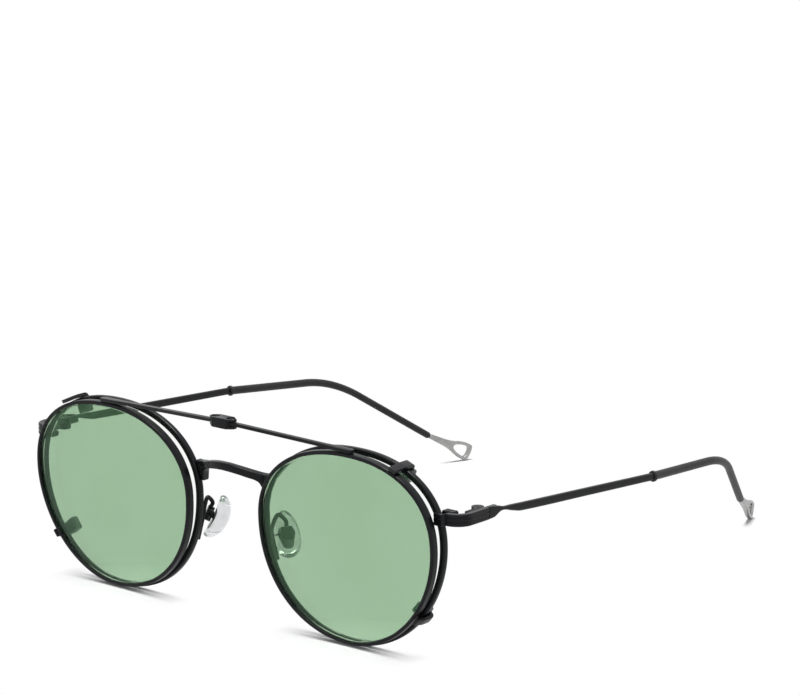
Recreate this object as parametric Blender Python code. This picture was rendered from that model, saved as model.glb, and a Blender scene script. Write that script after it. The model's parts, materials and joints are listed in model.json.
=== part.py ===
# Round metal glasses with a fold-in-half tinted clip-on front.
# Metres, +Z up. The front stands upright and faces -Y; the wearer's left is +X.
# Every piece is drawn for the left side and mirrored for the right one.

import bmesh
import bpy
import math
from mathutils import Matrix, Vector

# Fits
solder_gap = 0.00015
running_gap = 0.0001
butt_gap = 0.0003
overrun = 0.002
smooth_angle_deg = 35
bevel_angle_deg = 40
block_angle_deg = 60
screw_sides = 16
head_sides = 20
small_sides = 12
eye_sides = 24

# Lens outline, seen from the front
lens_width = 0.0507
lens_height = 0.0442
lens_gap = 0.0224
wrap_deg = 1.0
outline_steps = 72
apex_share = 0.0141
widest_share = 0.079
nasal_width_share = 0.514
upper_height_share = 0.421
squareness_upper_nasal = 2.14
squareness_upper_temple = 2.28
squareness_lower_nasal = 2.13
squareness_lower_temple = 1.91

# Main rim and its clear lens
rim_wall = 0.0009
rim_depth = 0.0016
rim_lip = 0.0003
rim_corner = 0.0003
groove_mouth = 0.0011
groove_floor = 0.0005
clear_thickness = 0.0012
clear_edge = 0.0003
clear_crown = 0.0017
lens_ring_shares = (0.78, 0.42)

# Bridge: heights above its foot as shares of its rise, at shares of its half span
bridge_rise = 0.0069
bridge_top_height = 0.0375
bridge_bow = 0.0043
bridge_back = 0.0008
bridge_bar_depth = 0.0021
bridge_foot_depth = 0.0021
bridge_foot_side = 0.0097
bridge_foot_edge = 0.0003
bridge_edge = 0.00025
bridge_top_shares = (
    (0.0, 1.0), (0.12, 0.993), (0.25, 0.96), (0.417, 0.896), (0.583, 0.809), (0.75, 0.714), (0.88, 0.678),
    (1.0, 0.675),
)
bridge_under_shares = (
    (0.0, 0.735), (0.17, 0.72), (0.34, 0.685), (0.5, 0.635), (0.63, 0.575), (0.75, 0.52), (0.83, 0.468),
    (0.9, 0.38), (0.95, 0.22), (0.985, 0.06), (1.0, 0.0),
)
bridge_contact_steps = 6

# End piece: from the rim outwards, then back round the corner
end_height = 0.034
end_tall = 0.0029
end_thick = 0.0014
end_past_rim = 0.0038
end_corner_share = 0.93
end_corner_steps = 7
end_length = 0.01015
end_edge = 0.00025
rib_groove_width = 0.00045
rib_groove_depth = 0.00022

# Closing blocks behind the end piece, with their screw
lock_width = 0.0034
lock_depth = 0.0023
lock_tall = 0.003
lock_slit = 0.0003
lock_screw_radius = 0.00045
lock_head_radius = 0.0008
lock_head_tall = 0.0004

# Temple hinge
hinge_inset = 0.0022
hinge_back = 0.0095
hinge_tall = 0.0027
knuckle_radius = 0.00145
knuckle_gap = 0.00012
hinge_screw_radius = 0.0005
hinge_head_radius = 0.00092
hinge_head_tall = 0.0004
slot_width = 0.00025
slot_depth = 0.0002
leaf_thick = 0.001
leaf_length = 0.0034
leaf_clearance = 0.0002
temple_leaf_tall = 0.0018

# Temple bar, from the joint to the collar, then the core wire to the tip
collar_out = 0.0011
collar_back = 0.0611
collar_drop = 0.004
bend_in = 0.003
bend_back = 0.0977
bend_drop = 0.0072
tip_in = 0.0153
tip_back = 0.1233
bend_radius = 0.032
bend_steps = 12
bar_thick = 0.0012
bar_edge = 0.0002
core_radius = 0.00045
core_sides = 8
core_first_turn_deg = 202.5
# Share of the bar's length, then its top and its bottom as shares of half the end piece's height
bar_outline_shares = (
    (0.0, 1.0, -1.0), (0.018, 0.99, -0.93), (0.035, 0.93, -0.78), (0.062, 0.8, -0.16), (0.088, 0.56, 0.0),
    (0.139, 0.57, -0.42), (0.19, 0.55, -0.74), (0.6, 0.58, -0.7), (1.0, 0.6, -0.62),
)

# Sleeve over the temple end
sleeve_tall = 0.0021
sleeve_thick = 0.0019
sleeve_end_tall = 0.0018
sleeve_sides = 14
collar_length = 0.0009
collar_proud = 0.0006
collar_shares = ((0.0, 0.5), (0.25, 1.0), (0.75, 1.0), (1.0, 0.0))
sleeve_end_taper = 0.0003
sleeve_end_round = 0.0004
core_slip = 0.00015

# Silver loop at the tip: half widths along its length, as shares
loop_length = 0.0143
loop_half_width = 0.00235
loop_thick = 0.0013
loop_outline_shares = (
    (0.0, 0.26), (0.3, 0.37), (0.48, 0.48), (0.6, 0.64), (0.7, 0.84), (0.8, 0.97), (0.88, 1.0), (0.95, 0.985),
    (0.985, 0.93), (1.0, 0.8), (1.015, 0.45), (1.02, 0.0),
)
loop_hole_shares = (
    (0.605, 0.0), (0.612, 0.15), (0.64, 0.3), (0.7, 0.46), (0.78, 0.58), (0.85, 0.63), (0.895, 0.6),
    (0.92, 0.48), (0.932, 0.25), (0.935, 0.0),
)
loop_lean = (-0.32, 0.83, -0.455)
loop_across = (-0.14, 0.42, 0.9)

# Nose pads
pad_out = 0.0112
pad_back = 0.0061
pad_height = 0.02
pad_down = (0.38, -0.19, -0.905)
pad_width_way = (0.66, 0.75, 0.0)
pad_half_length = 0.0056
pad_half_width = 0.0033
pad_thick = 0.0022
pad_bend = 0.0011
pad_sides = 24
pad_ring_shares = (
    (0.0, 0.9), (0.12, 0.97), (0.35, 1.0), (0.62, 0.92), (0.82, 0.74), (0.94, 0.48), (1.0, 0.2),
)
pad_lower_share = 0.14
pad_stand_off = 0.00115
core_plate_thick = 0.0004
core_plate_half_width = 0.0019
core_plate_half_length = 0.0026
core_plate_drop = 0.0008
core_outline_shares = (
    (-1.0, 0.55), (-0.85, 0.85), (-0.5, 1.0), (-0.1, 1.0), (0.2, 0.84), (0.5, 0.74), (0.8, 0.62), (1.0, 0.3),
)
core_pocket_slip = 0.00015
lug_half_width = 0.0005
lug_radius = 0.00065
lug_steps = 10
box_half_width = 0.0013
box_half_height = 0.0014
box_half_depth = 0.001
box_nose_depth = 0.0007
box_wall = 0.00065
pad_screw_radius = 0.00035
pad_head_radius = 0.0006
pad_head_tall = 0.00035
pad_screw_point = 0.0021
pad_point_radius = 0.00034
arm_radius = 0.0005
arm_sides = 8
arm_solder_low = 0.0155
arm_solder_high = 0.0215
arm_rise = 0.0021
arm_crest_rise = 0.003
arm_seat_share = 0.3
arm_points = 22

# Tinted clip: rims, lenses
clip_offset = 0.0038
clip_tilt_deg = 2.25
clip_narrower = 0.0005
clip_taller = 0.0001
clip_gap = 0.00012
clip_wall = 0.00048
clip_depth = 0.00205
clip_lip = 0.00028
clip_corner = 0.00022
clip_groove_mouth = 0.0008
clip_groove_floor = 0.0004
tint_thickness = 0.0008
tint_edge = 0.00024
tint_crown = 0.001

# Brow bars and the link block between them
bar_offset = 0.0039
bar_tall = 0.0008
bar_drop = 0.0006
bar_deep = 0.0013
bar_end_deep = 0.0019
bar_end_length = 0.0042
bar_end_past = 0.0021
bar_flare = 0.004
eye_steps = 14
eye_radius = 0.00115
link_length = 0.00765
link_depth = 0.0035
link_tall = 0.0024
link_flat_length = 0.0043
link_end_flat = 0.0009
link_edge = 0.00018
pin_spacing = 0.0047
pin_radius = 0.0005
pin_head_radius = 0.00095
pin_head_tall = 0.0003
pin_head_sink = 0.0002
link_slot_clearance = 0.0002

# Claws that hook behind the main rim, and their clear sleeves
claw_angles_deg = {"upper": 125.5, "lower": 214.5}
claw_width = 0.002
claw_thick = 0.00085
claw_round = 0.0009
claw_bend = 0.0004
claw_tip_reach = 0.0032
claw_clearance = 0.0001
claw_sleeve_wall = 0.0006
claw_sleeve_slip = 0.00008
claw_sleeve_lead = 0.0006
claw_steps = 5
claw_window_share = 0.125

# Sizes that follow
rim_outset = solder_gap + rim_wall
clip_outset = clip_gap + clip_wall
clip_lens_width = lens_width - clip_narrower
clip_lens_height = lens_height + clip_taller
lens_out = (lens_gap + lens_width) / 2
lens_middle = lens_height / 2 + rim_outset
clip_top = lens_middle + clip_lens_height / 2 + clip_outset
bar_height = clip_top + solder_gap + bar_tall / 2 + bar_drop
rim_side = lens_out + (1 - nasal_width_share + apex_share) * lens_width + rim_outset
end_reach = rim_side + end_past_rim
end_corner = end_past_rim * end_corner_share
hinge_out = end_reach - hinge_inset
joint_back = end_length + butt_gap


def clear_scene():
    for thing in list(bpy.data.objects):
        bpy.data.objects.remove(thing, do_unlink=True)


def finish_of(name, colour, roughness, metallic, alpha=1.0):
    look = bpy.data.materials.new(name)
    look.use_nodes = True
    shader = look.node_tree.nodes["Principled BSDF"]
    shader.inputs["Base Color"].default_value = (*colour, 1.0)
    shader.inputs["Roughness"].default_value = roughness
    shader.inputs["Metallic"].default_value = metallic
    shader.inputs["Alpha"].default_value = alpha
    return look


clear_scene()
black_metal = finish_of("black_metal", (0.018, 0.018, 0.02), 0.35, 0.9)
silver_metal = finish_of("silver_metal", (0.62, 0.62, 0.61), 0.3, 1.0)
dark_sleeve = finish_of("dark_sleeve", (0.028, 0.028, 0.028), 0.5, 0.0)
clear_plastic = finish_of("clear_plastic", (0.92, 0.94, 0.95), 0.08, 0.0, 0.35)
clear_glass = finish_of("clear_glass", (0.95, 0.97, 0.96), 0.03, 0.0, 0.2)
green_tint = finish_of("green_tint", (0.33, 0.55, 0.36), 0.03, 0.0, 0.55)


# Parents: one empty for each body, on its joint's axis
pad_toward_nose = -Vector(pad_down).normalized().cross(Vector(pad_width_way).normalized())
pad_middle = Vector((pad_out, pad_back, pad_height))
pad_pivot = pad_middle - pad_toward_nose * (pad_thick / 2 + pad_stand_off)

glasses = bpy.data.objects.new("glasses", None)
bpy.context.collection.objects.link(glasses)
glasses.empty_display_size = link_length


def add_body(name, origin):
    body = bpy.data.objects.new(name + "_body", None)
    body.empty_display_size = link_tall
    body.location = origin
    body.parent = glasses
    bpy.context.collection.objects.link(body)
    return body


bodies = {"front": add_body("front", Vector()), "link": add_body("link", (0, -bar_offset, bar_height))}
for side_name, side in (("left", 1), ("right", -1)):
    hinge_spot = Vector((side * hinge_out, hinge_back, end_height))
    bodies[side_name + "_temple"] = add_body(side_name + "_temple", hinge_spot)
    pad_spot = Vector((side * pad_pivot.x, pad_pivot.y, pad_pivot.z))
    bodies[side_name + "_pad"] = add_body(side_name + "_pad", pad_spot)
    pin_spot = Vector((side * pin_spacing / 2, -bar_offset, bar_height))
    bodies[side_name + "_clip"] = add_body(side_name + "_clip", pin_spot)


# Turns a bmesh drawn for the left side into a finished object on its body
def place(name, shape, body, side, look):
    if side < 0:
        bmesh.ops.scale(shape, vec=(-1, 1, 1), verts=shape.verts)
    shape.normal_update()
    bmesh.ops.recalc_face_normals(shape, faces=shape.faces)
    parent = bodies[body]
    bmesh.ops.translate(shape, vec=-parent.location, verts=shape.verts)
    mesh = bpy.data.meshes.new(name)
    shape.to_mesh(mesh)
    shape.free()
    mesh.materials.append(look)
    mesh.shade_smooth()
    mesh.set_sharp_from_angle(angle=math.radians(smooth_angle_deg))
    thing = bpy.data.objects.new(name, mesh)
    thing.parent = parent
    bpy.context.collection.objects.link(thing)
    return thing


def combine(thing, other, operation):
    other.hide_render = True
    other.display_type = "WIRE"
    step = thing.modifiers.new(operation.lower(), "BOOLEAN")
    step.operation = operation
    step.solver = "EXACT"
    step.object = other


def soften(thing, width, angle_deg=bevel_angle_deg):
    step = thing.modifiers.new("soft_edges", "BEVEL")
    step.width = width
    step.limit_method = "ANGLE"
    step.angle_limit = math.radians(angle_deg)


# Rings of equal point counts joined in order; ends are capped, or the last ring meets the first
def loft(shape, rings, closed=False):
    loops = [[shape.verts.new(point) for point in ring] for ring in rings]
    pairs = list(zip(loops, loops[1:]))
    if closed:
        pairs.append((loops[-1], loops[0]))
    for near, far in pairs:
        for i, corner in enumerate(near):
            j = (i + 1) % len(near)
            shape.faces.new((corner, near[j], far[j], far[i]))
    if not closed:
        shape.faces.new(loops[0])
        shape.faces.new(loops[-1])
    return loops


def lofted(rings, closed=False):
    shape = bmesh.new()
    loft(shape, rings, closed)
    return shape


# A flat outline given thickness along a direction
def slab(outline, along):
    shape = bmesh.new()
    floor = shape.faces.new([shape.verts.new(point) for point in outline])
    raised = bmesh.ops.extrude_face_region(shape, geom=[floor])["geom"]
    moved = [part for part in raised if isinstance(part, bmesh.types.BMVert)]
    bmesh.ops.translate(shape, vec=along, verts=moved)
    return shape


def box(low, high):
    shape = bmesh.new()
    bmesh.ops.create_cube(shape, size=1)
    low, high = Vector(low), Vector(high)
    bmesh.ops.scale(shape, vec=high - low, verts=shape.verts)
    bmesh.ops.translate(shape, vec=(low + high) / 2, verts=shape.verts)
    return shape


# A round bar between two points; radii may differ for a cone
def rod(start, end, radius, sides=head_sides, end_radius=None):
    start, end = Vector(start), Vector(end)
    way = end - start
    shape = bmesh.new()
    bmesh.ops.create_cone(
        shape,
        cap_ends=True,
        segments=sides,
        radius1=radius,
        radius2=radius if end_radius is None else end_radius,
        depth=way.length,
    )
    turn = way.to_track_quat("Z", "Y").to_matrix().to_4x4()
    bmesh.ops.transform(shape, matrix=Matrix.Translation((start + end) / 2) @ turn, verts=shape.verts)
    return shape


# Lens outline about its box centre: first value grows towards the nose, second upwards
def outline_point(turn, width, height):
    across, up = math.cos(turn), math.sin(turn)
    if up >= 0:
        power = squareness_upper_nasal if across >= 0 else squareness_upper_temple
        reach_up = upper_height_share * height
    else:
        power = squareness_lower_nasal if across >= 0 else squareness_lower_temple
        reach_up = (1 - upper_height_share) * height
    nasal = nasal_width_share * width
    reach_across = nasal if across >= 0 else width - nasal
    x = math.copysign(abs(across) ** (2 / power), across) * reach_across - apex_share * width
    z = math.copysign(abs(up) ** (2 / power), up) * reach_up + widest_share * height
    return Vector((x, z))


# The outline in the front's plane for the left lens, with the outward normal at each point
def lens_outline(width, height):
    turns = [2 * math.pi * i / outline_steps for i in range(outline_steps)]
    points = [outline_point(turn, width, height) for turn in turns]
    spots = [Vector((lens_out - p.x, lens_middle + p.y)) for p in points]
    normals = []
    for i in range(outline_steps):
        along = spots[(i + 1) % outline_steps] - spots[i - 1]
        normals.append(Vector((-along.y, along.x)).normalized())
    return spots, normals


def offset_outline(width, height, distance):
    spots, normals = lens_outline(width, height)
    return [spot + normal * distance for spot, normal in zip(spots, normals)]


# Where an outline on the temple side, or on the nose side, crosses a height
def outline_across(points, height, towards_temple):
    found = []
    for a, b in zip(points, points[1:] + points[:1]):
        if (a.y - height) * (b.y - height) <= 0 and a.y != b.y:
            found.append(a.x + (b.x - a.x) * (height - a.y) / (b.y - a.y))
    return max(found) if towards_temple else min(found)


# The front is wrapped: each lens is turned about the upright through its own middle
def wrapped(shape):
    turn = Matrix.Rotation(math.radians(wrap_deg), 3, "Z")
    bmesh.ops.rotate(shape, cent=(lens_out, 0, 0), matrix=turn, verts=shape.verts)
    return shape


# The clip's halves hang from their top: their lower edge leans back against the main rim
def leaned(shape):
    turn = Matrix.Rotation(math.radians(clip_tilt_deg), 3, "X")
    bmesh.ops.rotate(shape, cent=(0, -clip_offset, clip_top), matrix=turn, verts=shape.verts)
    return wrapped(shape)


def lean_at(height):
    return (clip_top - height) * math.tan(math.radians(clip_tilt_deg))


# How far back the middle of the wrapped rim lies at a distance out from the nose
def front_at(out):
    return (out - lens_out) * math.tan(math.radians(wrap_deg))


main_outer = offset_outline(lens_width, lens_height, rim_outset)
clip_outer = offset_outline(clip_lens_width, clip_lens_height, clip_outset)


# A grooved ring round a lens: profile points are (distance out from the lens edge, depth)
def grooved_ring(width, height, back, gap, wall, depth, lip, corner, mouth, floor):
    spots, normals = lens_outline(width, height)
    outer = gap + wall
    half = depth / 2
    profile = [
        (-lip, -half + corner),
        (-lip + corner, -half),
        (outer - corner, -half),
        (outer, -half + corner),
        (outer, half - corner),
        (outer - corner, half),
        (-lip + corner, half),
        (-lip, half - corner),
        (-lip, mouth / 2),
        (gap, floor / 2),
        (gap, -floor / 2),
        (-lip, -mouth / 2),
    ]
    profile = [p for i, p in enumerate(profile) if p != profile[i - 1]]
    rings = []
    for spot, normal in zip(spots, normals):
        rings.append([(spot.x + normal.x * r, back + y, spot.y + normal.y * r) for r, y in profile])
    return lofted(rings, closed=True)


# A lens with a V edge; its middle bulges forward by the crown
def domed_lens(width, height, back, thickness, edge, lip, crown):
    shoulder_in = lip + running_gap
    edge_line = offset_outline(width, height, 0)
    shoulder = offset_outline(width, height, -shoulder_in)
    middle = Vector((lens_out, lens_middle))

    def ring(line, share, y):
        bulge = crown * (1 - share * share)
        spots = [middle + (spot - middle) * share for spot in line]
        return [(spot.x, back + y - bulge, spot.y) for spot in spots]

    shares = list(reversed(lens_ring_shares))
    rings = [ring(shoulder, share, -thickness / 2) for share in shares]
    rings.append(ring(shoulder, 1, -thickness / 2))
    rings.append(ring(edge_line, 1, -edge / 2))
    rings.append(ring(edge_line, 1, edge / 2))
    rings.append(ring(shoulder, 1, thickness / 2))
    rings += [ring(shoulder, share, thickness / 2) for share in lens_ring_shares]
    shape = bmesh.new()
    loops = [[shape.verts.new(point) for point in r] for r in rings]
    for near, far in zip(loops, loops[1:]):
        for i, corner in enumerate(near):
            j = (i + 1) % len(near)
            shape.faces.new((corner, near[j], far[j], far[i]))
    for loop, y in ((loops[0], -thickness / 2), (loops[-1], thickness / 2)):
        peak = shape.verts.new((middle.x, back + y - crown, middle.y))
        for i, corner in enumerate(loop):
            shape.faces.new((corner, loop[(i + 1) % len(loop)], peak))
    return shape


def build_rims_and_lenses(name, side):
    ring = grooved_ring(
        lens_width, lens_height, 0, solder_gap, rim_wall, rim_depth,
        rim_lip, rim_corner, groove_mouth, groove_floor,
    )
    place(name + "_rim", wrapped(ring), "front", side, black_metal)
    lens = domed_lens(lens_width, lens_height, 0, clear_thickness, clear_edge, rim_lip, clear_crown)
    place(name + "_clear_lens", wrapped(lens), "front", side, clear_glass)
    ring = grooved_ring(
        clip_lens_width, clip_lens_height, -clip_offset, clip_gap, clip_wall, clip_depth,
        clip_lip, clip_corner, clip_groove_mouth, clip_groove_floor,
    )
    place(name + "_clip_rim", leaned(ring), name + "_clip", side, black_metal)
    tint = domed_lens(
        clip_lens_width, clip_lens_height, -clip_offset, tint_thickness, tint_edge, clip_lip, tint_crown
    )
    place(name + "_clip_lens", leaned(tint), name + "_clip", side, green_tint)


def share_at(table, share):
    for (a, first), (b, last) in zip(table, table[1:]):
        if share <= b:
            return first + (last - first) * (share - a) / (b - a)
    return table[-1][1]


# Bridge: an arch bowed forward between the rims, with a foot at each end that follows the rim
def build_bridge():
    seat = offset_outline(lens_width, lens_height, rim_outset + solder_gap)
    low = bridge_top_height - bridge_rise
    end_top = low + bridge_rise * bridge_top_shares[-1][1]
    span = outline_across(seat, end_top - bridge_foot_edge, False)
    low_side = outline_across(seat, low + bridge_foot_edge, False)
    foot_side = min(bridge_foot_side, low_side - bridge_foot_edge)
    stations = []
    for share, rise in bridge_under_shares:
        stations.append((share * foot_side, low + rise * bridge_rise))
    for step in range(bridge_contact_steps + 1):
        z = low + (end_top - bridge_foot_edge - low) * step / bridge_contact_steps
        stations.append((outline_across(seat, z, False), z))
    sections = []
    for x, under in stations:
        top = low + bridge_rise * share_at(bridge_top_shares, x / span)
        inward = max(0.0, 1 - (x / foot_side) ** 2)
        half = (bridge_foot_depth + (bridge_bar_depth - bridge_foot_depth) * inward) / 2
        y = front_at(max(x, foot_side)) + bridge_back - bridge_bow * inward
        edge = min(bridge_edge, (top - under) / 3)
        corners = (
            (-half, under + edge), (-half, top - edge), (-half + edge, top), (half - edge, top),
            (half, top - edge), (half, under + edge), (half - edge, under), (-half + edge, under),
        )
        sections.append([(x, y + back, z) for back, z in corners])
    mirrored = [[(-x, y, z) for x, y, z in section] for section in sections[1:]]
    place("bridge", lofted(list(reversed(mirrored)) + sections), "front", 1, black_metal)


def end_section():
    half, thick = end_tall / 2, end_thick / 2
    groove = rib_groove_width / 2
    third = end_tall / 6
    return [
        (-thick, -half + end_edge), (-thick, half - end_edge), (-thick + end_edge, half),
        (thick - end_edge, half), (thick, half - end_edge),
        (thick, third + groove), (thick - rib_groove_depth, third), (thick, third - groove),
        (thick, -third + groove), (thick - rib_groove_depth, -third), (thick, -third - groove),
        (thick, -half + end_edge), (thick - end_edge, -half), (-thick + end_edge, -half),
    ]


# End piece: a ribbed strip that leaves the rim, turns the corner and runs back to the joint
def build_end_piece(name, side):
    seat = offset_outline(lens_width, lens_height, rim_outset + solder_gap)
    section = end_section()
    corner_x = end_reach - end_corner
    ahead = front_at(rim_side)
    rings = [[(outline_across(seat, end_height + z, True), ahead - n, end_height + z) for n, z in section]]
    for step in range(end_corner_steps + 1):
        turn = math.pi / 2 * step / end_corner_steps
        ring = []
        for n, z in section:
            radius = end_corner + n
            x = corner_x + radius * math.sin(turn)
            y = ahead + end_corner - radius * math.cos(turn)
            ring.append((x, y, end_height + z))
        rings.append(ring)
    rings.append([(end_reach + n, end_length, end_height + z) for n, z in section])
    place(name + "_end_piece", lofted(rings), "front", side, black_metal)


# The two closing blocks sit behind the rim and the end piece, drawn together by one screw
def build_rim_lock(name, side):
    rim_x = outline_across(main_outer, end_height, True)
    left = rim_x - lock_width / 3
    right = left + lock_width
    front = front_at(rim_side) + max(rim_depth, end_thick) / 2 + solder_gap
    back = front + lock_depth
    middle_x, middle_y = (left + right) / 2, (front + back) / 2
    top, bottom = end_height + lock_tall / 2, end_height - lock_tall / 2
    halves = {
        "upper": (end_height + lock_slit / 2, top),
        "lower": (bottom, end_height - lock_slit / 2),
    }
    for part, (low, high) in halves.items():
        solid = box((left, front, low), (right, back, high))
        block = place(f"{name}_lock_{part}", solid, "front", side, black_metal)
        soften(block, rim_corner)
        hole = rod(
            (middle_x, middle_y, bottom - overrun), (middle_x, middle_y, top + overrun),
            lock_screw_radius + running_gap, screw_sides,
        )
        combine(block, place(f"{name}_lock_{part}_hole", hole, "front", side, black_metal), "DIFFERENCE")
        if part == "upper":
            seat = rod(
                (middle_x, middle_y, top - lock_head_tall), (middle_x, middle_y, top + overrun),
                lock_head_radius + running_gap, screw_sides,
            )
            combine(block, place(f"{name}_lock_seat", seat, "front", side, black_metal), "DIFFERENCE")
    build_screw(
        f"{name}_lock_screw", "front", side, (middle_x, middle_y), (bottom + running_gap, top),
        lock_screw_radius, lock_head_radius, lock_head_tall - running_gap,
    )


# An upright slotted screw whose head lies flush in its seat
def build_screw(name, body, side, spot, reach, radius, head_radius, head_tall):
    x, y = spot
    low, high = reach
    shaft = rod((x, y, low), (x, y, high - head_tall / 2), radius, screw_sides)
    screw = place(name, shaft, body, side, black_metal)
    head = rod((x, y, high - head_tall), (x, y, high), head_radius)
    combine(screw, place(name + "_head", head, body, side, black_metal), "UNION")
    slot = box(
        (x - head_radius - overrun, y - slot_width / 2, high - slot_depth),
        (x + head_radius + overrun, y + slot_width / 2, high + overrun),
    )
    combine(screw, place(name + "_slot", slot, body, side, black_metal), "DIFFERENCE")


# Hinge: two knuckles on the front leaf, one between them on the temple leaf
def build_hinge(name, side):
    axis_x, axis_y = hinge_out, hinge_back
    low, high = end_height - hinge_tall / 2, end_height + hinge_tall / 2
    knuckle_tall = (hinge_tall - 2 * knuckle_gap) / 3
    inner_face = end_reach - end_thick / 2 - solder_gap
    leaf_x = (inner_face - leaf_thick, inner_face)
    clear = knuckle_radius + leaf_clearance
    front_leaf = box(
        (leaf_x[0], axis_y - clear - leaf_length, low), (leaf_x[1], axis_y - clear, high)
    )
    leaf = place(name + "_hinge_front", front_leaf, "front", side, black_metal)
    for part, base in (("top", high - knuckle_tall), ("bottom", low)):
        ring = rod((axis_x, axis_y, base), (axis_x, axis_y, base + knuckle_tall), knuckle_radius)
        combine(leaf, place(f"{name}_front_knuckle_{part}", ring, "front", side, black_metal), "UNION")
        arm = box((leaf_x[0], axis_y - clear - leaf_thick, base), (leaf_x[1], axis_y, base + knuckle_tall))
        combine(leaf, place(f"{name}_front_arm_{part}", arm, "front", side, black_metal), "UNION")
    bore = rod(
        (axis_x, axis_y, low - overrun), (axis_x, axis_y, high + overrun), hinge_screw_radius + running_gap
    )
    combine(leaf, place(name + "_front_bore", bore, "front", side, black_metal), "DIFFERENCE")
    seat = rod(
        (axis_x, axis_y, high - hinge_head_tall), (axis_x, axis_y, high + overrun),
        hinge_head_radius + running_gap,
    )
    combine(leaf, place(name + "_front_seat", seat, "front", side, black_metal), "DIFFERENCE")
    build_screw(
        name + "_hinge_screw", "front", side, (axis_x, axis_y), (low + running_gap, high),
        hinge_screw_radius, hinge_head_radius, hinge_head_tall - running_gap,
    )

    body = name + "_temple"
    base = low + knuckle_tall + knuckle_gap
    inner_face = end_reach - bar_thick / 2 - solder_gap
    leaf_x = (inner_face - leaf_thick, inner_face)
    half = temple_leaf_tall / 2
    temple_leaf = box(
        (leaf_x[0], axis_y + clear, end_height - half),
        (leaf_x[1], axis_y + clear + leaf_length, end_height + half),
    )
    leaf = place(name + "_hinge_temple", temple_leaf, body, side, black_metal)
    ring = rod((axis_x, axis_y, base), (axis_x, axis_y, base + knuckle_tall), knuckle_radius)
    combine(leaf, place(name + "_temple_knuckle", ring, body, side, black_metal), "UNION")
    arm = box((leaf_x[0], axis_y, base), (leaf_x[1], axis_y + clear + leaf_thick, base + knuckle_tall))
    combine(leaf, place(name + "_temple_arm", arm, body, side, black_metal), "UNION")
    bore = rod(
        (axis_x, axis_y, low - overrun), (axis_x, axis_y, high + overrun), hinge_screw_radius + running_gap
    )
    combine(leaf, place(name + "_temple_bore", bore, body, side, black_metal), "DIFFERENCE")


# Directions of the tip loop: along it, across it and through its thickness
loop_way = Vector(loop_lean).normalized()
loop_side = (Vector(loop_across) - loop_way * loop_way.dot(Vector(loop_across))).normalized()
loop_through = loop_way.cross(loop_side).normalized()


def loop_outline(shares, spread):
    upper = [(along * loop_length, half * spread) for along, half in shares]
    lower = [(along, -half) for along, half in reversed(upper) if half > 0]
    return [loop_way * along + loop_side * half for along, half in upper + lower]


# The loop's lowest corner stands on the floor, so the sleeve's end height follows from it
loop_corners = loop_outline(loop_outline_shares, loop_half_width)
loop_lead = loop_way * (sleeve_end_round + solder_gap)
loop_sink = loop_thick / 2 * abs(loop_through.z)
tip_height = loop_sink - min(point.z for point in loop_corners) - loop_lead.z

joint = Vector((end_reach, joint_back, end_height))
collar = joint + Vector((collar_out, collar_back, -collar_drop))
bend = joint + Vector((-bend_in, bend_back, -bend_drop))
sleeve_end = Vector((end_reach - tip_in, joint_back + tip_back, tip_height))


# Points on the rounded corner of the temple, from the collar to the sleeve's end
def temple_curve():
    back, on = (collar - bend).normalized(), (sleeve_end - bend).normalized()
    half_angle = back.angle(on) / 2
    reach = bend_radius / math.tan(half_angle)
    centre = bend + (back + on).normalized() * bend_radius / math.sin(half_angle)
    first, last = bend + back * reach - centre, bend + on * reach - centre
    sweep = first.angle(last)
    points = [collar]
    for step in range(bend_steps + 1):
        share = step / bend_steps
        before = math.sin((1 - share) * sweep) / math.sin(sweep)
        after = math.sin(share * sweep) / math.sin(sweep)
        points.append(centre + first * before + last * after)
    points.append(sleeve_end)
    return points


def frames_along(points):
    frames = []
    for i, point in enumerate(points):
        ahead = points[min(i + 1, len(points) - 1)] - points[max(i - 1, 0)]
        way = ahead.normalized()
        upright = (Vector((0, 0, 1)) - way * way.z).normalized()
        frames.append((point, way, upright, way.cross(upright)))
    return frames


def oval(frame, tall, thick, sides):
    point, _, upright, out = frame
    turns = [2 * math.pi * i / sides for i in range(sides)]
    return [point + upright * math.sin(t) * tall / 2 + out * math.cos(t) * thick / 2 for t in turns]


# Temple: a flat bar with a waist behind the joint, then a round core wire inside the sleeve
def build_temple(name, side):
    body = name + "_temple"
    way = (collar - joint).normalized()
    length = (collar - joint).length
    upright = (Vector((0, 0, 1)) - way * way.z).normalized()
    out = way.cross(upright)
    flat, half = bar_thick / 2, end_tall / 2
    rings = []
    for share, top_share, low_share in bar_outline_shares:
        spot = joint + way * length * share
        high, low = half * top_share, half * low_share
        corners = (
            (-flat, low + bar_edge), (-flat, high - bar_edge), (-flat + bar_edge, high),
            (flat - bar_edge, high), (flat, high - bar_edge), (flat, low + bar_edge),
            (flat - bar_edge, low), (-flat + bar_edge, low),
        )
        rings.append([spot + out * across + upright * up for across, up in corners])
    rings[0] = [Vector((point.x, joint_back, point.z)) for point in rings[0]]
    curve = temple_curve()
    curve[-1] = curve[-1] - (curve[-1] - curve[-2]).normalized() * butt_gap
    for point, _, raised, across in frames_along(curve):
        ring = []
        for i in range(core_sides):
            turn = math.radians(core_first_turn_deg) - 2 * math.pi * i / core_sides
            ring.append(point + across * math.cos(turn) * core_radius + raised * math.sin(turn) * core_radius)
        rings.append(ring)
    place(name + "_temple", lofted(rings), body, side, black_metal)


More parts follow.
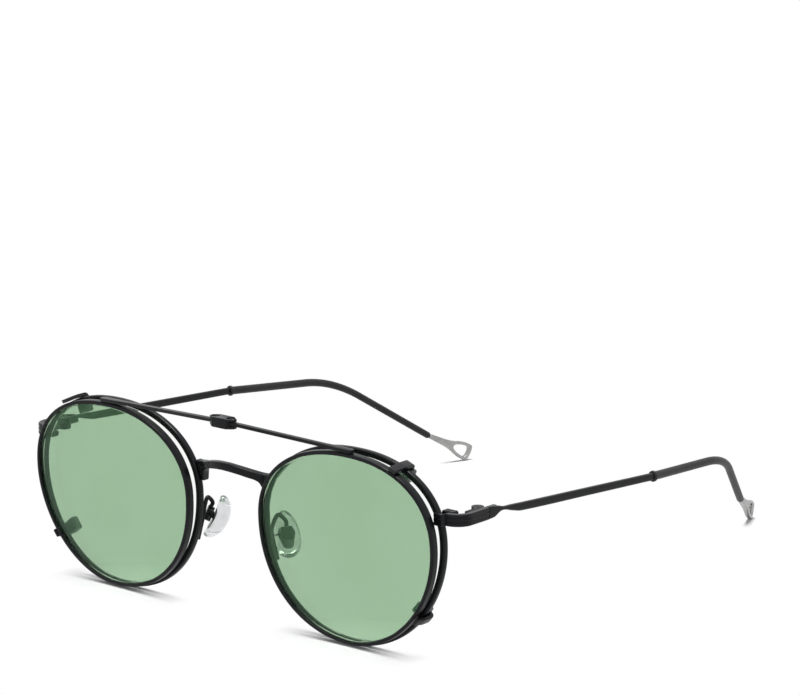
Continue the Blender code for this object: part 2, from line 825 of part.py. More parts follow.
# Sleeve: an oval tube round the core, with a raised collar where it starts
def build_sleeve(name, side):
    curve = temple_curve()
    frames = frames_along(curve)
    start, way, upright, out = frames[0]
    lead = start + way * butt_gap
    outer = []
    for share, proud_share in collar_shares:
        proud = collar_proud * proud_share
        frame = (lead + way * collar_length * share, way, upright, out)
        outer.append(oval(frame, sleeve_tall + proud, sleeve_thick + proud, sleeve_sides))
    for i, frame in enumerate(frames[1:], 1):
        share = i / (len(frames) - 1)
        tall = sleeve_tall + (sleeve_end_tall - sleeve_tall) * share
        outer.append(oval(frame, tall, sleeve_thick, sleeve_sides))
    end_point, end_way, end_up, end_out = frames[-1]
    rounded = (end_point + end_way * sleeve_end_round, end_way, end_up, end_out)
    end_tall_now, end_thick_now = sleeve_end_tall - sleeve_end_taper, sleeve_thick - sleeve_end_taper
    outer.append(oval(rounded, end_tall_now, end_thick_now, sleeve_sides))
    bore = 2 * (core_radius + core_slip)
    inner = [oval((lead, way, upright, out), bore, bore, sleeve_sides)]
    inner += [oval(frame, bore, bore, sleeve_sides) for frame in frames[1:]]
    inner.append(oval(rounded, bore, bore, sleeve_sides))
    rings = outer + list(reversed(inner))
    place(name + "_temple_sleeve", lofted(rings, closed=True), name + "_temple", side, dark_sleeve)


# Tip loop: a flat triangular eye on a neck that enters the sleeve
def build_tip_loop(name, side):
    body = name + "_temple"
    start = sleeve_end + loop_lead
    half = loop_through * loop_thick / 2
    low = [start + point - half for point in loop_outline(loop_outline_shares, loop_half_width)]
    loop = place(name + "_tip_loop", slab(low, half * 2), body, side, silver_metal)
    deep = loop_through * (loop_thick / 2 + overrun)
    hole = [start + point - deep for point in loop_outline(loop_hole_shares, loop_half_width)]
    combine(loop, place(name + "_loop_hole", slab(hole, deep * 2), body, side, silver_metal), "DIFFERENCE")


# Pad frame: down its length, across its width and towards the nose
pad_axis_down = Vector(pad_down).normalized()
pad_axis_width = Vector(pad_width_way)
pad_axis_width = (pad_axis_width - pad_axis_down * pad_axis_down.dot(pad_axis_width)).normalized()


def on_pad(down, across, inward):
    return pad_pivot + pad_axis_down * down + pad_axis_width * across + pad_toward_nose * inward


def pad_box(low, high):
    shape = box(low, high)
    for vert in shape.verts:
        vert.co = on_pad(*vert.co)
    return shape


# The core plate's outline: a wide head with a narrower rounded lobe below
def core_plate(grow, low, high):
    upper = []
    for along, half in core_outline_shares:
        down = core_plate_drop + along * (core_plate_half_length + grow)
        upper.append((down, half * core_plate_half_width + grow))
    outline = upper + [(down, -half) for down, half in reversed(upper)]
    points = [on_pad(down, half, low) for down, half in outline]
    return slab(points, pad_toward_nose * (high - low))


def build_nose_pad(name, side):
    body = name + "_pad"
    rings = []
    for depth, spread in pad_ring_shares:
        ring = []
        for i in range(pad_sides):
            turn = 2 * math.pi * i / pad_sides
            down = math.cos(turn) * spread
            narrow = 1 + pad_lower_share * math.cos(turn)
            across = math.sin(turn) * pad_half_width * spread * narrow
            inward = pad_stand_off + depth * pad_thick + pad_bend * (depth - down * down)
            ring.append(on_pad(down * pad_half_length, across, inward))
        rings.append(ring)
    pad = place(name + "_nose_pad", lofted(rings), body, side, clear_plastic)
    plate_in = pad_stand_off + solder_gap
    plate_top = plate_in + core_plate_thick
    slip = core_pocket_slip
    pocket = core_plate(slip, pad_stand_off - overrun, plate_top + slip)
    combine(pad, place(name + "_pad_pocket", pocket, body, side, clear_plastic), "DIFFERENCE")
    core = place(name + "_pad_core", core_plate(0, plate_in, plate_top), body, side, black_metal)
    root = plate_in + core_plate_thick / 2
    turns = [math.pi * (1 + i / lug_steps) for i in range(lug_steps + 1)]
    profile = [(lug_radius, root), (-lug_radius, root)]
    profile += [(math.cos(turn) * lug_radius, math.sin(turn) * lug_radius) for turn in turns]
    points = [on_pad(down, -lug_half_width, inward) for down, inward in profile]
    lug = slab(points, pad_axis_width * lug_half_width * 2)
    combine(core, place(name + "_pad_lug", lug, body, side, black_metal), "UNION")
    eye = rod(
        on_pad(0, -lug_half_width - overrun, 0), on_pad(0, lug_half_width + overrun, 0),
        pad_screw_radius + running_gap, small_sides,
    )
    combine(core, place(name + "_lug_eye", eye, body, side, black_metal), "DIFFERENCE")


# Pad box: a channel open towards the nose, crossed by the pad's screw
def build_pad_mount(name, side):
    outer = pad_box(
        (-box_half_height, -box_half_width, -box_half_depth),
        (box_half_height, box_half_width, box_nose_depth),
    )
    holder = place(name + "_pad_box", outer, "front", side, black_metal)
    inside = box_half_width - box_wall
    slot = pad_box(
        (-box_half_height - overrun, -inside, -lug_radius - running_gap),
        (box_half_height + overrun, inside, box_nose_depth + overrun),
    )
    combine(holder, place(name + "_box_slot", slot, "front", side, black_metal), "DIFFERENCE")
    hole = rod(
        on_pad(0, -box_half_width - overrun, 0), on_pad(0, box_half_width + overrun, 0),
        pad_screw_radius + running_gap, small_sides,
    )
    combine(holder, place(name + "_box_hole", hole, "front", side, black_metal), "DIFFERENCE")
    head_face = box_half_width + running_gap
    shaft = rod(
        on_pad(0, -box_half_width, 0), on_pad(0, head_face + pad_head_tall / 2, 0),
        pad_screw_radius, small_sides,
    )
    screw = place(name + "_pad_screw", shaft, "front", side, black_metal)
    point = rod(
        on_pad(0, -box_half_width + pad_head_tall, 0), on_pad(0, -box_half_width - pad_screw_point, 0),
        pad_point_radius, small_sides, running_gap,
    )
    combine(screw, place(name + "_pad_screw_point", point, "front", side, black_metal), "UNION")
    head = rod(on_pad(0, head_face, 0), on_pad(0, head_face + pad_head_tall, 0), pad_head_radius, screw_sides)
    combine(screw, place(name + "_pad_screw_head", head, "front", side, black_metal), "UNION")


# A smooth line through a few points, as evenly spaced points
def smooth_line(points, count):
    ends = [points[0] * 2 - points[1]] + points + [points[-1] * 2 - points[-2]]
    line = []
    for step in range(count + 1):
        place_on = step / count * (len(points) - 1)
        i = min(int(place_on), len(points) - 2)
        t = place_on - i
        a, b, c, d = ends[i : i + 4]
        line.append(
            (b * 2 + (c - a) * t + (a * 2 - b * 5 + c * 4 - d) * t * t + (b * 3 - a - c * 3 + d) * t ** 3) / 2
        )
    return line


# Pad arm: a wire laid on the back of the rim, rising and turning over into the pad box
def build_pad_arm(name, side):
    seat = offset_outline(lens_width, lens_height, rim_outset * arm_seat_share)
    behind = rim_depth / 2 + solder_gap + arm_radius
    entry = on_pad(-box_half_height - solder_gap, 0, -box_half_depth + arm_radius)
    low, high = [
        Vector((x, behind + front_at(x), z))
        for x, z in ((outline_across(seat, z, False), z) for z in (arm_solder_low, arm_solder_high))
    ]
    rise = high + Vector((0, arm_radius, arm_rise))
    crest = Vector(((high.x * 3 + entry.x) / 4, (high.y + entry.y) / 2, entry.z + arm_crest_rise))
    over = entry - pad_axis_down * box_half_height
    route = smooth_line([low, high, rise, crest, over, entry], arm_points)
    rings = [oval(frame, arm_radius * 2, arm_radius * 2, arm_sides) for frame in wire_frames(route)]
    place(name + "_pad_arm", lofted(rings), "front", side, black_metal)


# Frames carried along a wire without twisting
def wire_frames(points):
    frames = []
    across = Vector((1, 0, 0))
    for i, point in enumerate(points):
        way = (points[min(i + 1, len(points) - 1)] - points[max(i - 1, 0)]).normalized()
        across = (across - way * way.dot(across)).normalized()
        frames.append((point, way, across, way.cross(across)))
    return frames


# Link block: a long octagon with a slot at each end, open behind so that the halves fold back
def build_link():
    x, y, flat, end = link_length / 2, link_depth / 2, link_flat_length / 2, link_end_flat / 2
    plan = [(-flat, -y), (flat, -y), (x, -end), (x, end), (flat, y), (-flat, y), (-x, end), (-x, -end)]
    base = bar_height - link_tall / 2
    block = slab([(px, -bar_offset + py, base) for px, py in plan], (0, 0, link_tall))
    link = place("fold_link", block, "link", 1, black_metal)
    soften(link, link_edge, block_angle_deg)
    slot_half = bar_tall / 2 + solder_gap
    front = -bar_offset - bar_deep / 2 - link_slot_clearance
    for side in (1, -1):
        pin = pin_spacing / 2
        low, high = bar_height - slot_half, bar_height + slot_half
        start = pin - bar_deep / 2 - link_slot_clearance
        channel = box((start, front, low), (link_length, link_depth, high))
        combine(link, place("link_channel", channel, "link", side, black_metal), "DIFFERENCE")
        round_slot = rod(
            (pin, -bar_offset, low), (pin, -bar_offset, high), eye_radius + link_slot_clearance, eye_sides
        )
        combine(link, place("link_round_slot", round_slot, "link", side, black_metal), "DIFFERENCE")
        base, top = bar_height - link_tall / 2, bar_height + link_tall / 2
        bore = rod(
            (pin, -bar_offset, base - overrun), (pin, -bar_offset, top + overrun),
            pin_radius + running_gap, screw_sides,
        )
        combine(link, place("link_bore", bore, "link", side, black_metal), "DIFFERENCE")
        seat = rod(
            (pin, -bar_offset, top - pin_head_sink - pin_head_tall), (pin, -bar_offset, top + overrun),
            pin_head_radius + running_gap, head_sides,
        )
        combine(link, place("link_seat", seat, "link", side, black_metal), "DIFFERENCE")


def build_link_screw(name, side):
    base, top = bar_height - link_tall / 2, bar_height + link_tall / 2
    build_screw(
        name + "_link_screw", "link", side, (pin_spacing / 2, -bar_offset),
        (base + running_gap, top - pin_head_sink), pin_radius, pin_head_radius, pin_head_tall - running_gap,
    )


# Brow bar: an eye round the pivot screw, a straight bar and a wider end on top of the clip's rim
def build_brow_bar(name, side):
    pin = pin_spacing / 2
    half, wide = bar_deep / 2, bar_end_deep / 2
    apex = max(clip_outer, key=lambda p: p.y).x
    end = apex + bar_end_past
    widen = end - bar_end_length
    opening = math.asin(half / eye_radius)
    plan = []
    for step in range(eye_steps + 1):
        turn = opening + (2 * math.pi - 2 * opening) * step / eye_steps
        plan.append((pin + eye_radius * math.cos(turn), eye_radius * math.sin(turn)))
    plan += [(widen - bar_flare, -half), (widen, -wide), (end - wide / 2, -wide), (end, -wide / 2)]
    plan += [(end, wide / 2), (end - wide / 2, wide), (widen, wide), (widen - bar_flare, half)]
    base = bar_height - bar_tall / 2
    shape = slab([(x, y - bar_offset, base) for x, y in plan], (0, 0, bar_tall))
    for corner in shape.verts:
        corner.co.z -= bar_drop * max(0, (corner.co.x - pin) / (apex - pin))
    bar = place(name + "_brow_bar", shape, name + "_clip", side, black_metal)
    hole = rod(
        (pin, -bar_offset, base - overrun), (pin, -bar_offset, base + bar_tall + overrun),
        pin_radius + running_gap, screw_sides,
    )
    combine(bar, place(name + "_bar_eye", hole, name + "_clip", side, black_metal), "DIFFERENCE")


# A bent strip: its centre line lies in one plane and its width stands square to that plane
def rounded_line(corners, radii, steps):
    line = [corners[0]]
    for before, corner, after, radius in zip(corners, corners[1:], corners[2:], radii):
        first, last = (before - corner).normalized(), (after - corner).normalized()
        for step in range(steps + 1):
            t = step / steps
            line.append(corner + first * radius * (1 - t) ** 2 + last * radius * t ** 2)
    line.append(corners[-1])
    return line


def strip_sides(line, thickness):
    left, right = [], []
    for i, point in enumerate(line):
        way = (line[min(i + 1, len(line) - 1)] - line[max(i - 1, 0)]).normalized()
        across = Vector((-way.y, way.x)) * thickness / 2
        left.append(point + across)
        right.append(point - across)
    return left + list(reversed(right))


def build_claw(name, part, side):
    turn = math.radians(claw_angles_deg[part])
    heading = Vector((-math.cos(turn), math.sin(turn)))
    middle = Vector((lens_out, lens_middle))
    spots, normals = lens_outline(lens_width, lens_height)
    nearest = max(range(outline_steps), key=lambda i: (spots[i] - middle).normalized().dot(heading))
    normal = normals[nearest]
    edge = spots[nearest] + normal * rim_outset
    tangent = Vector((-normal.y, normal.x))
    window = lens_width * claw_window_share
    clip_reach = max((p - edge).dot(normal) for p in clip_outer if abs((p - edge).dot(tangent)) < window)
    seat = clip_reach + solder_gap + claw_thick / 2
    cover = max(seat, claw_clearance + claw_thick / 2)
    hook_back = rim_depth / 2 + claw_clearance + claw_sleeve_wall + claw_sleeve_slip + claw_thick / 2
    tip = Vector((-claw_tip_reach, hook_back))
    foot = lean_at(edge.y + normal.y * seat) - clip_offset
    corners = [
        Vector((seat, foot - clip_depth / 2)),
        Vector((cover, -rim_depth / 2 - claw_bend)),
        Vector((cover, hook_back)),
        tip,
    ]
    body = name + "_clip"

    def strip(line, thickness, width):
        points = strip_sides(line, thickness)
        start = [edge + normal * p.x - tangent * width / 2 for p in points]
        outline = [(spot.x, p.y, spot.y) for spot, p in zip(start, points)]
        return wrapped(slab(outline, (tangent.x * width, 0, tangent.y * width)))

    line = rounded_line(corners, (claw_bend, claw_round), claw_steps)
    place(f"{name}_{part}_claw", strip(line, claw_thick, claw_width), body, side, black_metal)

    # The sleeve is a blind tube pushed over the hook's tip, behind the rim
    wall, slip = claw_sleeve_wall, claw_sleeve_slip
    begin = Vector((-claw_sleeve_lead, hook_back))
    end = tip - Vector((slip + wall, 0))
    outer = strip([begin, end], claw_thick + 2 * (slip + wall), claw_width + 2 * (slip + wall))
    sleeve = place(f"{name}_{part}_claw_sleeve", outer, body, side, clear_plastic)
    soften(sleeve, wall / 2, block_angle_deg)
    inner = strip(
        [begin + Vector((overrun, 0)), end + Vector((wall, 0))], claw_thick + 2 * slip, claw_width + 2 * slip
    )
    combine(sleeve, place(f"{name}_{part}_sleeve_bore", inner, body, side, clear_plastic), "DIFFERENCE")


build_bridge()
build_link()
for side_name, side in (("left", 1), ("right", -1)):
    build_rims_and_lenses(side_name, side)
    build_end_piece(side_name, side)
    build_rim_lock(side_name, side)
    build_hinge(side_name, side)
    build_temple(side_name, side)
    build_sleeve(side_name, side)
    build_tip_loop(side_name, side)
    build_nose_pad(side_name, side)
    build_pad_mount(side_name, side)
    build_pad_arm(side_name, side)
    build_brow_bar(side_name, side)
    build_link_screw(side_name, side)
    for claw_part in claw_angles_deg:
        build_claw(side_name, claw_part, side)

# The origin is the middle of the footprint
front_face = -bar_offset - link_depth / 2
loop_back = max(point.y for point in loop_corners) + loop_thick / 2 * abs(loop_through.y)
glasses.location.y = -(front_face + (sleeve_end + loop_lead).y + loop_back) / 2
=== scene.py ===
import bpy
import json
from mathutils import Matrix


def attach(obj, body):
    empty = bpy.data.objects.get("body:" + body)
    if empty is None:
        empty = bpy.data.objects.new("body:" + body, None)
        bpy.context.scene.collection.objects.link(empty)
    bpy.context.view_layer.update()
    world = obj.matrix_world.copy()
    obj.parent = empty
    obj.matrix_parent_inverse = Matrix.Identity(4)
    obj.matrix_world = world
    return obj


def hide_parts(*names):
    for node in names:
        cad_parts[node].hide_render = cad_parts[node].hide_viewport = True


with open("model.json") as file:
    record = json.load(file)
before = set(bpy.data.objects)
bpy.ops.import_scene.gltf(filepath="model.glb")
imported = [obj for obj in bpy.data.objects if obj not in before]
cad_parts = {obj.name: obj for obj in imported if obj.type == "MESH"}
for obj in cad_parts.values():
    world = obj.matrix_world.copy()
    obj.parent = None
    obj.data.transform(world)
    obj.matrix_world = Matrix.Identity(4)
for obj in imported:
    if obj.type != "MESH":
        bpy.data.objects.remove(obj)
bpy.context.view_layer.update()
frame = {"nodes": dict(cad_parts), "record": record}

import json
import math

import bpy
from mathutils import Vector

scene = bpy.context.scene
nodes = frame["nodes"]
record = frame["record"]
bodyOf = {node: body for body, members in record["behaviour"]["bodies"].items() for node in members}
slotOf = {row["node"]: row["material_slot"] for row in record["subparts"]}
sides = (("left", 1), ("right", -1))
print("frame loaded:", len(nodes), "nodes")


# Materials. A grain is the size of a pattern's features in millimetres. Nearly all values of a noise lie
# in the noise band

noiseBand = (0.3, 0.7)


def newMaterial(name):
    material = bpy.data.materials.new(name)
    material.use_nodes = True
    tree = material.node_tree
    return material, tree, tree.nodes["Principled BSDF"]


def addNode(tree, kind, **values):
    node = tree.nodes.new(kind)
    for key, value in values.items():
        setattr(node, key, value)
    return node


# A noise in Object coordinates, drawn out along an axis by its stretch
def noiseAt(tree, grain, detail=3.0, roughness=0.5, stretch=(1, 1, 1)):
    place = addNode(tree, "ShaderNodeTexCoord")
    mapping = addNode(tree, "ShaderNodeMapping")
    mapping.inputs["Scale"].default_value = tuple(1 / drawn for drawn in stretch)
    noise = addNode(tree, "ShaderNodeTexNoise")
    noise.inputs["Scale"].default_value = 1000 / grain
    noise.inputs["Detail"].default_value = detail
    noise.inputs["Roughness"].default_value = roughness
    tree.links.new(place.outputs["Object"], mapping.inputs["Vector"])
    tree.links.new(mapping.outputs["Vector"], noise.inputs["Vector"])
    return noise.outputs["Fac"]


# A noise turned into colours between two
def rampOf(tree, factor, colours):
    ramp = addNode(tree, "ShaderNodeValToRGB")
    for element, position, colour in zip(ramp.color_ramp.elements, noiseBand, colours):
        element.position = position
        element.color = (*colour, 1)
    tree.links.new(factor, ramp.inputs["Fac"])
    return ramp.outputs["Color"]


# A value carried from one span to another, without leaving it
def rangeOf(tree, factor, low, high, fromSpan=noiseBand):
    span = addNode(tree, "ShaderNodeMapRange")
    for key, value in zip(("From Min", "From Max", "To Min", "To Max"), (*fromSpan, low, high)):
        span.inputs[key].default_value = value
    tree.links.new(factor, span.inputs["Value"])
    return span.outputs["Result"]


def bumpFrom(tree, shader, height, depth, strength):
    bump = addNode(tree, "ShaderNodeBump")
    bump.inputs["Strength"].default_value = strength
    bump.inputs["Distance"].default_value = depth
    tree.links.new(height, bump.inputs["Height"])
    tree.links.new(bump.outputs["Normal"], shader.inputs["Normal"])


# Satin plating: near black, faintly mottled, a little paler where edges are rubbed
def makePlating(name, look):
    material, tree, shader = newMaterial(name)
    shader.inputs["Metallic"].default_value = look["metallic"]
    shader.inputs["Specular IOR Level"].default_value = look["specular"]
    mottle = noiseAt(tree, look["mottleGrain"], detail=4)
    body = rampOf(tree, mottle, (look["dark"], look["light"]))
    edges = addNode(tree, "ShaderNodeNewGeometry").outputs["Pointiness"]
    wear = rangeOf(tree, edges, 0, look["wear"], look["wearSpan"])
    mix = addNode(tree, "ShaderNodeMix", data_type="RGBA")
    mix.inputs["B"].default_value = (*look["rubbed"], 1)
    tree.links.new(wear, mix.inputs["Factor"])
    tree.links.new(body, mix.inputs["A"])
    tree.links.new(mix.outputs["Result"], shader.inputs["Base Color"])
    fine = noiseAt(tree, look["fineGrain"], detail=2, roughness=0.6, stretch=look["stretch"])
    tree.links.new(rangeOf(tree, fine, *look["roughness"]), shader.inputs["Roughness"])
    bumpFrom(tree, shader, fine, look["bumpDepth"], look["bumpStrength"])
    return material


# Clear or tinted moulded plastic: the tint and the haze vary a little through the piece
def makeClear(name, look):
    material, tree, shader = newMaterial(name)
    shader.inputs["Transmission Weight"].default_value = look["clear"]
    shader.inputs["IOR"].default_value = look["ior"]
    shader.inputs["Specular IOR Level"].default_value = look["specular"]
    shader.inputs["Specular Tint"].default_value = (*look["sheen"], 1)
    drift = noiseAt(tree, look["driftGrain"], detail=2, roughness=0.4)
    tint = rampOf(tree, drift, (look["deep"], look["pale"]))
    tree.links.new(tint, shader.inputs["Base Color"])
    haze = noiseAt(tree, look["hazeGrain"])
    tree.links.new(rangeOf(tree, haze, *look["roughness"]), shader.inputs["Roughness"])
    if "bumpStrength" in look:
        bumpFrom(tree, shader, haze, look["bumpDepth"], look["bumpStrength"])
    return material


blackPlating = {
    "metallic": 0.0, "specular": 0.17, "dark": (0.0034, 0.0038, 0.005), "light": (0.0064, 0.007, 0.0086),
    "rubbed": (0.032, 0.032, 0.034), "wear": 0.5, "wearSpan": (0.54, 0.62), "mottleGrain": 2.4,
    "fineGrain": 0.16, "stretch": (1, 1, 1), "roughness": (0.25, 0.38), "bumpDepth": 0.000012,
    "bumpStrength": 0.25,
}
silverSatin = {
    "metallic": 1.0, "specular": 0.5, "dark": (0.3, 0.3, 0.295), "light": (0.4, 0.4, 0.395),
    "rubbed": (0.6, 0.6, 0.59), "wear": 0.6, "wearSpan": (0.54, 0.62), "mottleGrain": 1.8,
    "fineGrain": 0.1, "stretch": (1, 9, 1), "roughness": (0.28, 0.4), "bumpDepth": 0.00001,
    "bumpStrength": 0.3,
}
sleevePlastic = {
    "metallic": 0.0, "specular": 0.24, "dark": (0.0115, 0.0115, 0.012), "light": (0.018, 0.018, 0.0188),
    "rubbed": (0.04, 0.04, 0.042), "wear": 0.5, "wearSpan": (0.53, 0.62), "mottleGrain": 3.5,
    "fineGrain": 0.22, "stretch": (1, 3, 1), "roughness": (0.38, 0.52), "bumpDepth": 0.000018,
    "bumpStrength": 0.3,
}
padSilicone = {
    "clear": 0.84, "ior": 1.4, "specular": 0.5, "sheen": (1, 1, 1), "deep": (0.76, 0.77, 0.78),
    "pale": (0.9, 0.91, 0.92), "driftGrain": 2.0, "hazeGrain": 0.35, "roughness": (0.03, 0.09),
    "bumpDepth": 0.00002, "bumpStrength": 0.12,
}
clawTubing = {
    "clear": 0.6, "ior": 1.43, "specular": 0.5, "sheen": (1, 1, 1), "deep": (0.1, 0.105, 0.11),
    "pale": (0.2, 0.21, 0.22), "driftGrain": 1.2, "hazeGrain": 0.3, "roughness": (0.05, 0.12),
    "bumpDepth": 0.00002, "bumpStrength": 0.15,
}
clearLens = {
    "clear": 1, "ior": 1.5, "specular": 0.5, "sheen": (0.6, 0.9, 0.7), "deep": (0.975, 0.985, 0.98),
    "pale": (0.99, 0.995, 0.993), "driftGrain": 22.0, "hazeGrain": 9.0, "roughness": (0.0, 0.004),
}
greenLens = {
    "clear": 1, "ior": 1.5, "specular": 0.5, "sheen": (0.3, 0.8, 0.4), "deep": (0.327, 0.49, 0.322),
    "pale": (0.352, 0.512, 0.347), "driftGrain": 26.0, "hazeGrain": 9.0, "roughness": (0.0, 0.004),
}
finishes = {
    "black_metal": makePlating("blackPlating", blackPlating),
    "silver_metal": makePlating("silverSatin", silverSatin),
    "dark_sleeve": makePlating("sleevePlastic", sleevePlastic),
    "clear_plastic": makeClear("padSilicone", padSilicone),
    "clear_lens": makeClear("clearLens", clearLens),
    "green_lens": makeClear("greenLens", greenLens),
}
tubing = makeClear("clawTubing", clawTubing)
print("materials ready")


# Shared steps. Points nearer than this in metres are merged. Faces that bend by less than flatDeg are made
# one, edges sharper than bevelDeg are rounded, and those under smoothDeg are shaded smooth

modelling = {
    "samePoint": 1e-7, "cadPoint": 2e-6, "flatDeg": 1.5, "bevelDeg": 35, "smoothDeg": 40, "leastSpan": 1e-12,
}


def deselectAll():
    if bpy.context.object and bpy.context.object.mode != "OBJECT":
        bpy.ops.object.mode_set(mode="OBJECT")
    bpy.ops.object.select_all(action="DESELECT")


def makeActive(piece):
    deselectAll()
    piece.select_set(True)
    bpy.context.view_layer.objects.active = piece


def camelName(node):
    first, *others = node.split("_")
    return first + "".join(word.capitalize() for word in others)


# Outward faces, then smooth shading that keeps edges above the angle
def closeUp(piece, smoothDeg):
    makeActive(piece)
    bpy.ops.object.mode_set(mode="EDIT")
    bpy.ops.mesh.select_all(action="SELECT")
    bpy.ops.mesh.remove_doubles(threshold=modelling["samePoint"])
    bpy.ops.mesh.normals_make_consistent(inside=False)
    bpy.ops.object.mode_set(mode="OBJECT")
    bpy.ops.object.shade_smooth_by_angle(angle=math.radians(smoothDeg))


# A finished piece's name, material and body, its material picked by its slot. Lamps shine through the lenses,
# as they do in the soft light of the photo
def settle(piece, node, material=None):
    piece.name = camelName(node)
    piece.data.name = piece.name
    piece.data.materials.clear()
    piece.data.materials.append(material or finishes[slotOf[node]])
    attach(piece, bodyOf[node])
    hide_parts(node)
    piece.visible_shadow = slotOf[node] not in ("clear_lens", "green_lens")


# A CAD node's copy with its loose triangles merged into clean faces and its edges rounded
def roundedCopy(node, width, segments, material=None):
    mesh = nodes[node].data.copy()
    piece = bpy.data.objects.new(camelName(node), mesh)
    scene.collection.objects.link(piece)
    makeActive(piece)
    bpy.ops.mesh.customdata_custom_splitnormals_clear()
    bpy.ops.object.mode_set(mode="EDIT")
    bpy.ops.mesh.select_all(action="SELECT")
    bpy.ops.mesh.remove_doubles(threshold=modelling["cadPoint"])
    bpy.ops.mesh.dissolve_limited(angle_limit=math.radians(modelling["flatDeg"]))
    bpy.ops.object.mode_set(mode="OBJECT")
    bevel = piece.modifiers.new("roundedEdges", "BEVEL")
    bevel.width = width
    bevel.segments = segments
    bevel.limit_method = "ANGLE"
    bevel.angle_limit = math.radians(modelling["bevelDeg"])
    bpy.ops.object.modifier_apply(modifier=bevel.name)
    bpy.ops.object.shade_smooth_by_angle(angle=math.radians(modelling["smoothDeg"]))
    settle(piece, node, material)


# A sphere primitive whose rings are carried to the given sections. Its poles go to the given points, or
# else to the middles of the first and last sections
def sphereOverSections(sections, node, smoothDeg, poles=None):
    count = len(sections[0])
    deselectAll()
    bpy.ops.mesh.primitive_uv_sphere_add(segments=count, ring_count=len(sections) + 1, radius=1)
    piece = bpy.context.object
    centres = poles or [sum(section, Vector()) / count for section in (sections[0], sections[-1])]
    for vertex in piece.data.vertices:
        x, y, z = vertex.co
        ring = round(math.acos(max(-1, min(1, z))) / math.pi * (len(sections) + 1)) - 1
        if ring < 0:
            vertex.co = centres[0]
        elif ring >= len(sections):
            vertex.co = centres[1]
        else:
            spot = round(math.atan2(y, x) / (2 * math.pi) * count) % count
            vertex.co = sections[ring][spot]
    closeUp(piece, smoothDeg)
    settle(piece, node)


# A torus primitive whose rings are carried to the given sections
def torusOverSections(sections, node, smoothDeg):
    count = len(sections[0])
    deselectAll()
    bpy.ops.mesh.primitive_torus_add(major_segments=len(sections), minor_segments=count)
    piece = bpy.context.object
    for index, vertex in enumerate(piece.data.vertices):
        ring, spot = divmod(index, count)
        vertex.co = sections[ring][spot]
    closeUp(piece, smoothDeg)
    settle(piece, node)


def mirrored(sections, side):
    return [[Vector((side * p[0], p[1], p[2])) for p in section] for section in sections]


# Points along a smooth curve that passes through the given ones
def smoothLine(points, count):
    ends = [points[0] * 2 - points[1]] + points + [points[-1] * 2 - points[-2]]
    line = []
    for step in range(count + 1):
        position = step / count * (len(points) - 1)
        i = min(int(position), len(points) - 2)
        t = position - i
        a, b, c, d = ends[i:i + 4]
        square, cube = a * 2 - b * 5 + c * 4 - d, b * 3 - a - c * 3 + d
        line.append((b * 2 + (c - a) * t + square * t ** 2 + cube * t ** 3) / 2)
    return line


# Points evenly spaced along a line, from its start to its end
def evenlySpaced(points, count):
    lengths = [0.0]
    for a, b in zip(points, points[1:]):
        lengths.append(lengths[-1] + (b - a).length)
    spaced, at = [], 0
    for step in range(count):
        goal = lengths[-1] * step / (count - 1)
        while at < len(points) - 2 and lengths[at + 1] < goal:
            at += 1
        share = (goal - lengths[at]) / max(lengths[at + 1] - lengths[at], modelling["leastSpan"])
        spaced.append(points[at].lerp(points[at + 1], share))
    return spaced


# A value from a table of (place, value) pairs along a smooth curve through them
def tableAt(table, place):
    place = max(table[0][0], min(table[-1][0], place))
    for i in range(len(table) - 1):
        (a, first), (b, last) = table[i], table[i + 1]
        if place <= b:
            before = table[max(i - 1, 0)]
            after = table[min(i + 2, len(table) - 1)]
            span = b - a
            t = (place - a) / span
            slopeIn = (last - before[1]) / (b - before[0]) * span
            slopeOut = (after[1] - first) / (after[0] - a) * span
            return (
                first * (2 * t ** 3 - 3 * t ** 2 + 1) + slopeIn * (t ** 3 - 2 * t ** 2 + t)
                + last * (3 * t ** 2 - 2 * t ** 3) + slopeOut * (t ** 3 - t ** 2)
            )
    return table[-1][1]


# Points on a quarter of a circle, from a starting angle in degrees
def quarterArc(x, y, radius, start, steps, sweep=90):
    points = []
    for step in range(steps + 1):
        turn = math.radians(start + sweep * step / steps)
        points.append((x + radius * math.cos(turn), y + radius * math.sin(turn)))
    return points


# The outline of a rectangle between two corners, each of its four corners an arc
def roundedRectangle(low, high, radius, arcSteps):
    centres = (
        (high[0] - radius, high[1] - radius, 0), (low[0] + radius, high[1] - radius, 90),
        (low[0] + radius, low[1] + radius, 180), (high[0] - radius, low[1] + radius, 270),
    )
    points = []
    for x, y, start in centres:
        points += quarterArc(x, y, radius, start, arcSteps)
    return points


# The way a line runs at one of its points
def wayAt(points, i):
    return (points[min(i + 1, len(points) - 1)] - points[max(i - 1, 0)]).normalized()


# Frames along a line that keep one direction as upright as they can
def uprightFrames(points):
    frames = []
    for i, point in enumerate(points):
        way = wayAt(points, i)
        upright = (Vector((0, 0, 1)) - way * way.z).normalized()
        frames.append((point, way, upright, way.cross(upright)))
    return frames


# Frames carried along a wire without twisting
def wireFrames(points):
    frames = []
    across = Vector((1, 0, 0))
    for i, point in enumerate(points):
        way = wayAt(points, i)
        across = (across - way * way.dot(across)).normalized()
        frames.append((point, way, across, way.cross(across)))
    return frames


# An oval ring round a frame's point, across its line
def ovalSection(frameHere, tall, thick, count):
    point, _, upright, out = frameHere
    turns = [2 * math.pi * i / count for i in range(count)]
    return [point + upright * math.sin(t) * tall / 2 + out * math.cos(t) * thick / 2 for t in turns]


# Lens outline, as drawn for the solids. Each side of the front is turned a little about its lens's upright

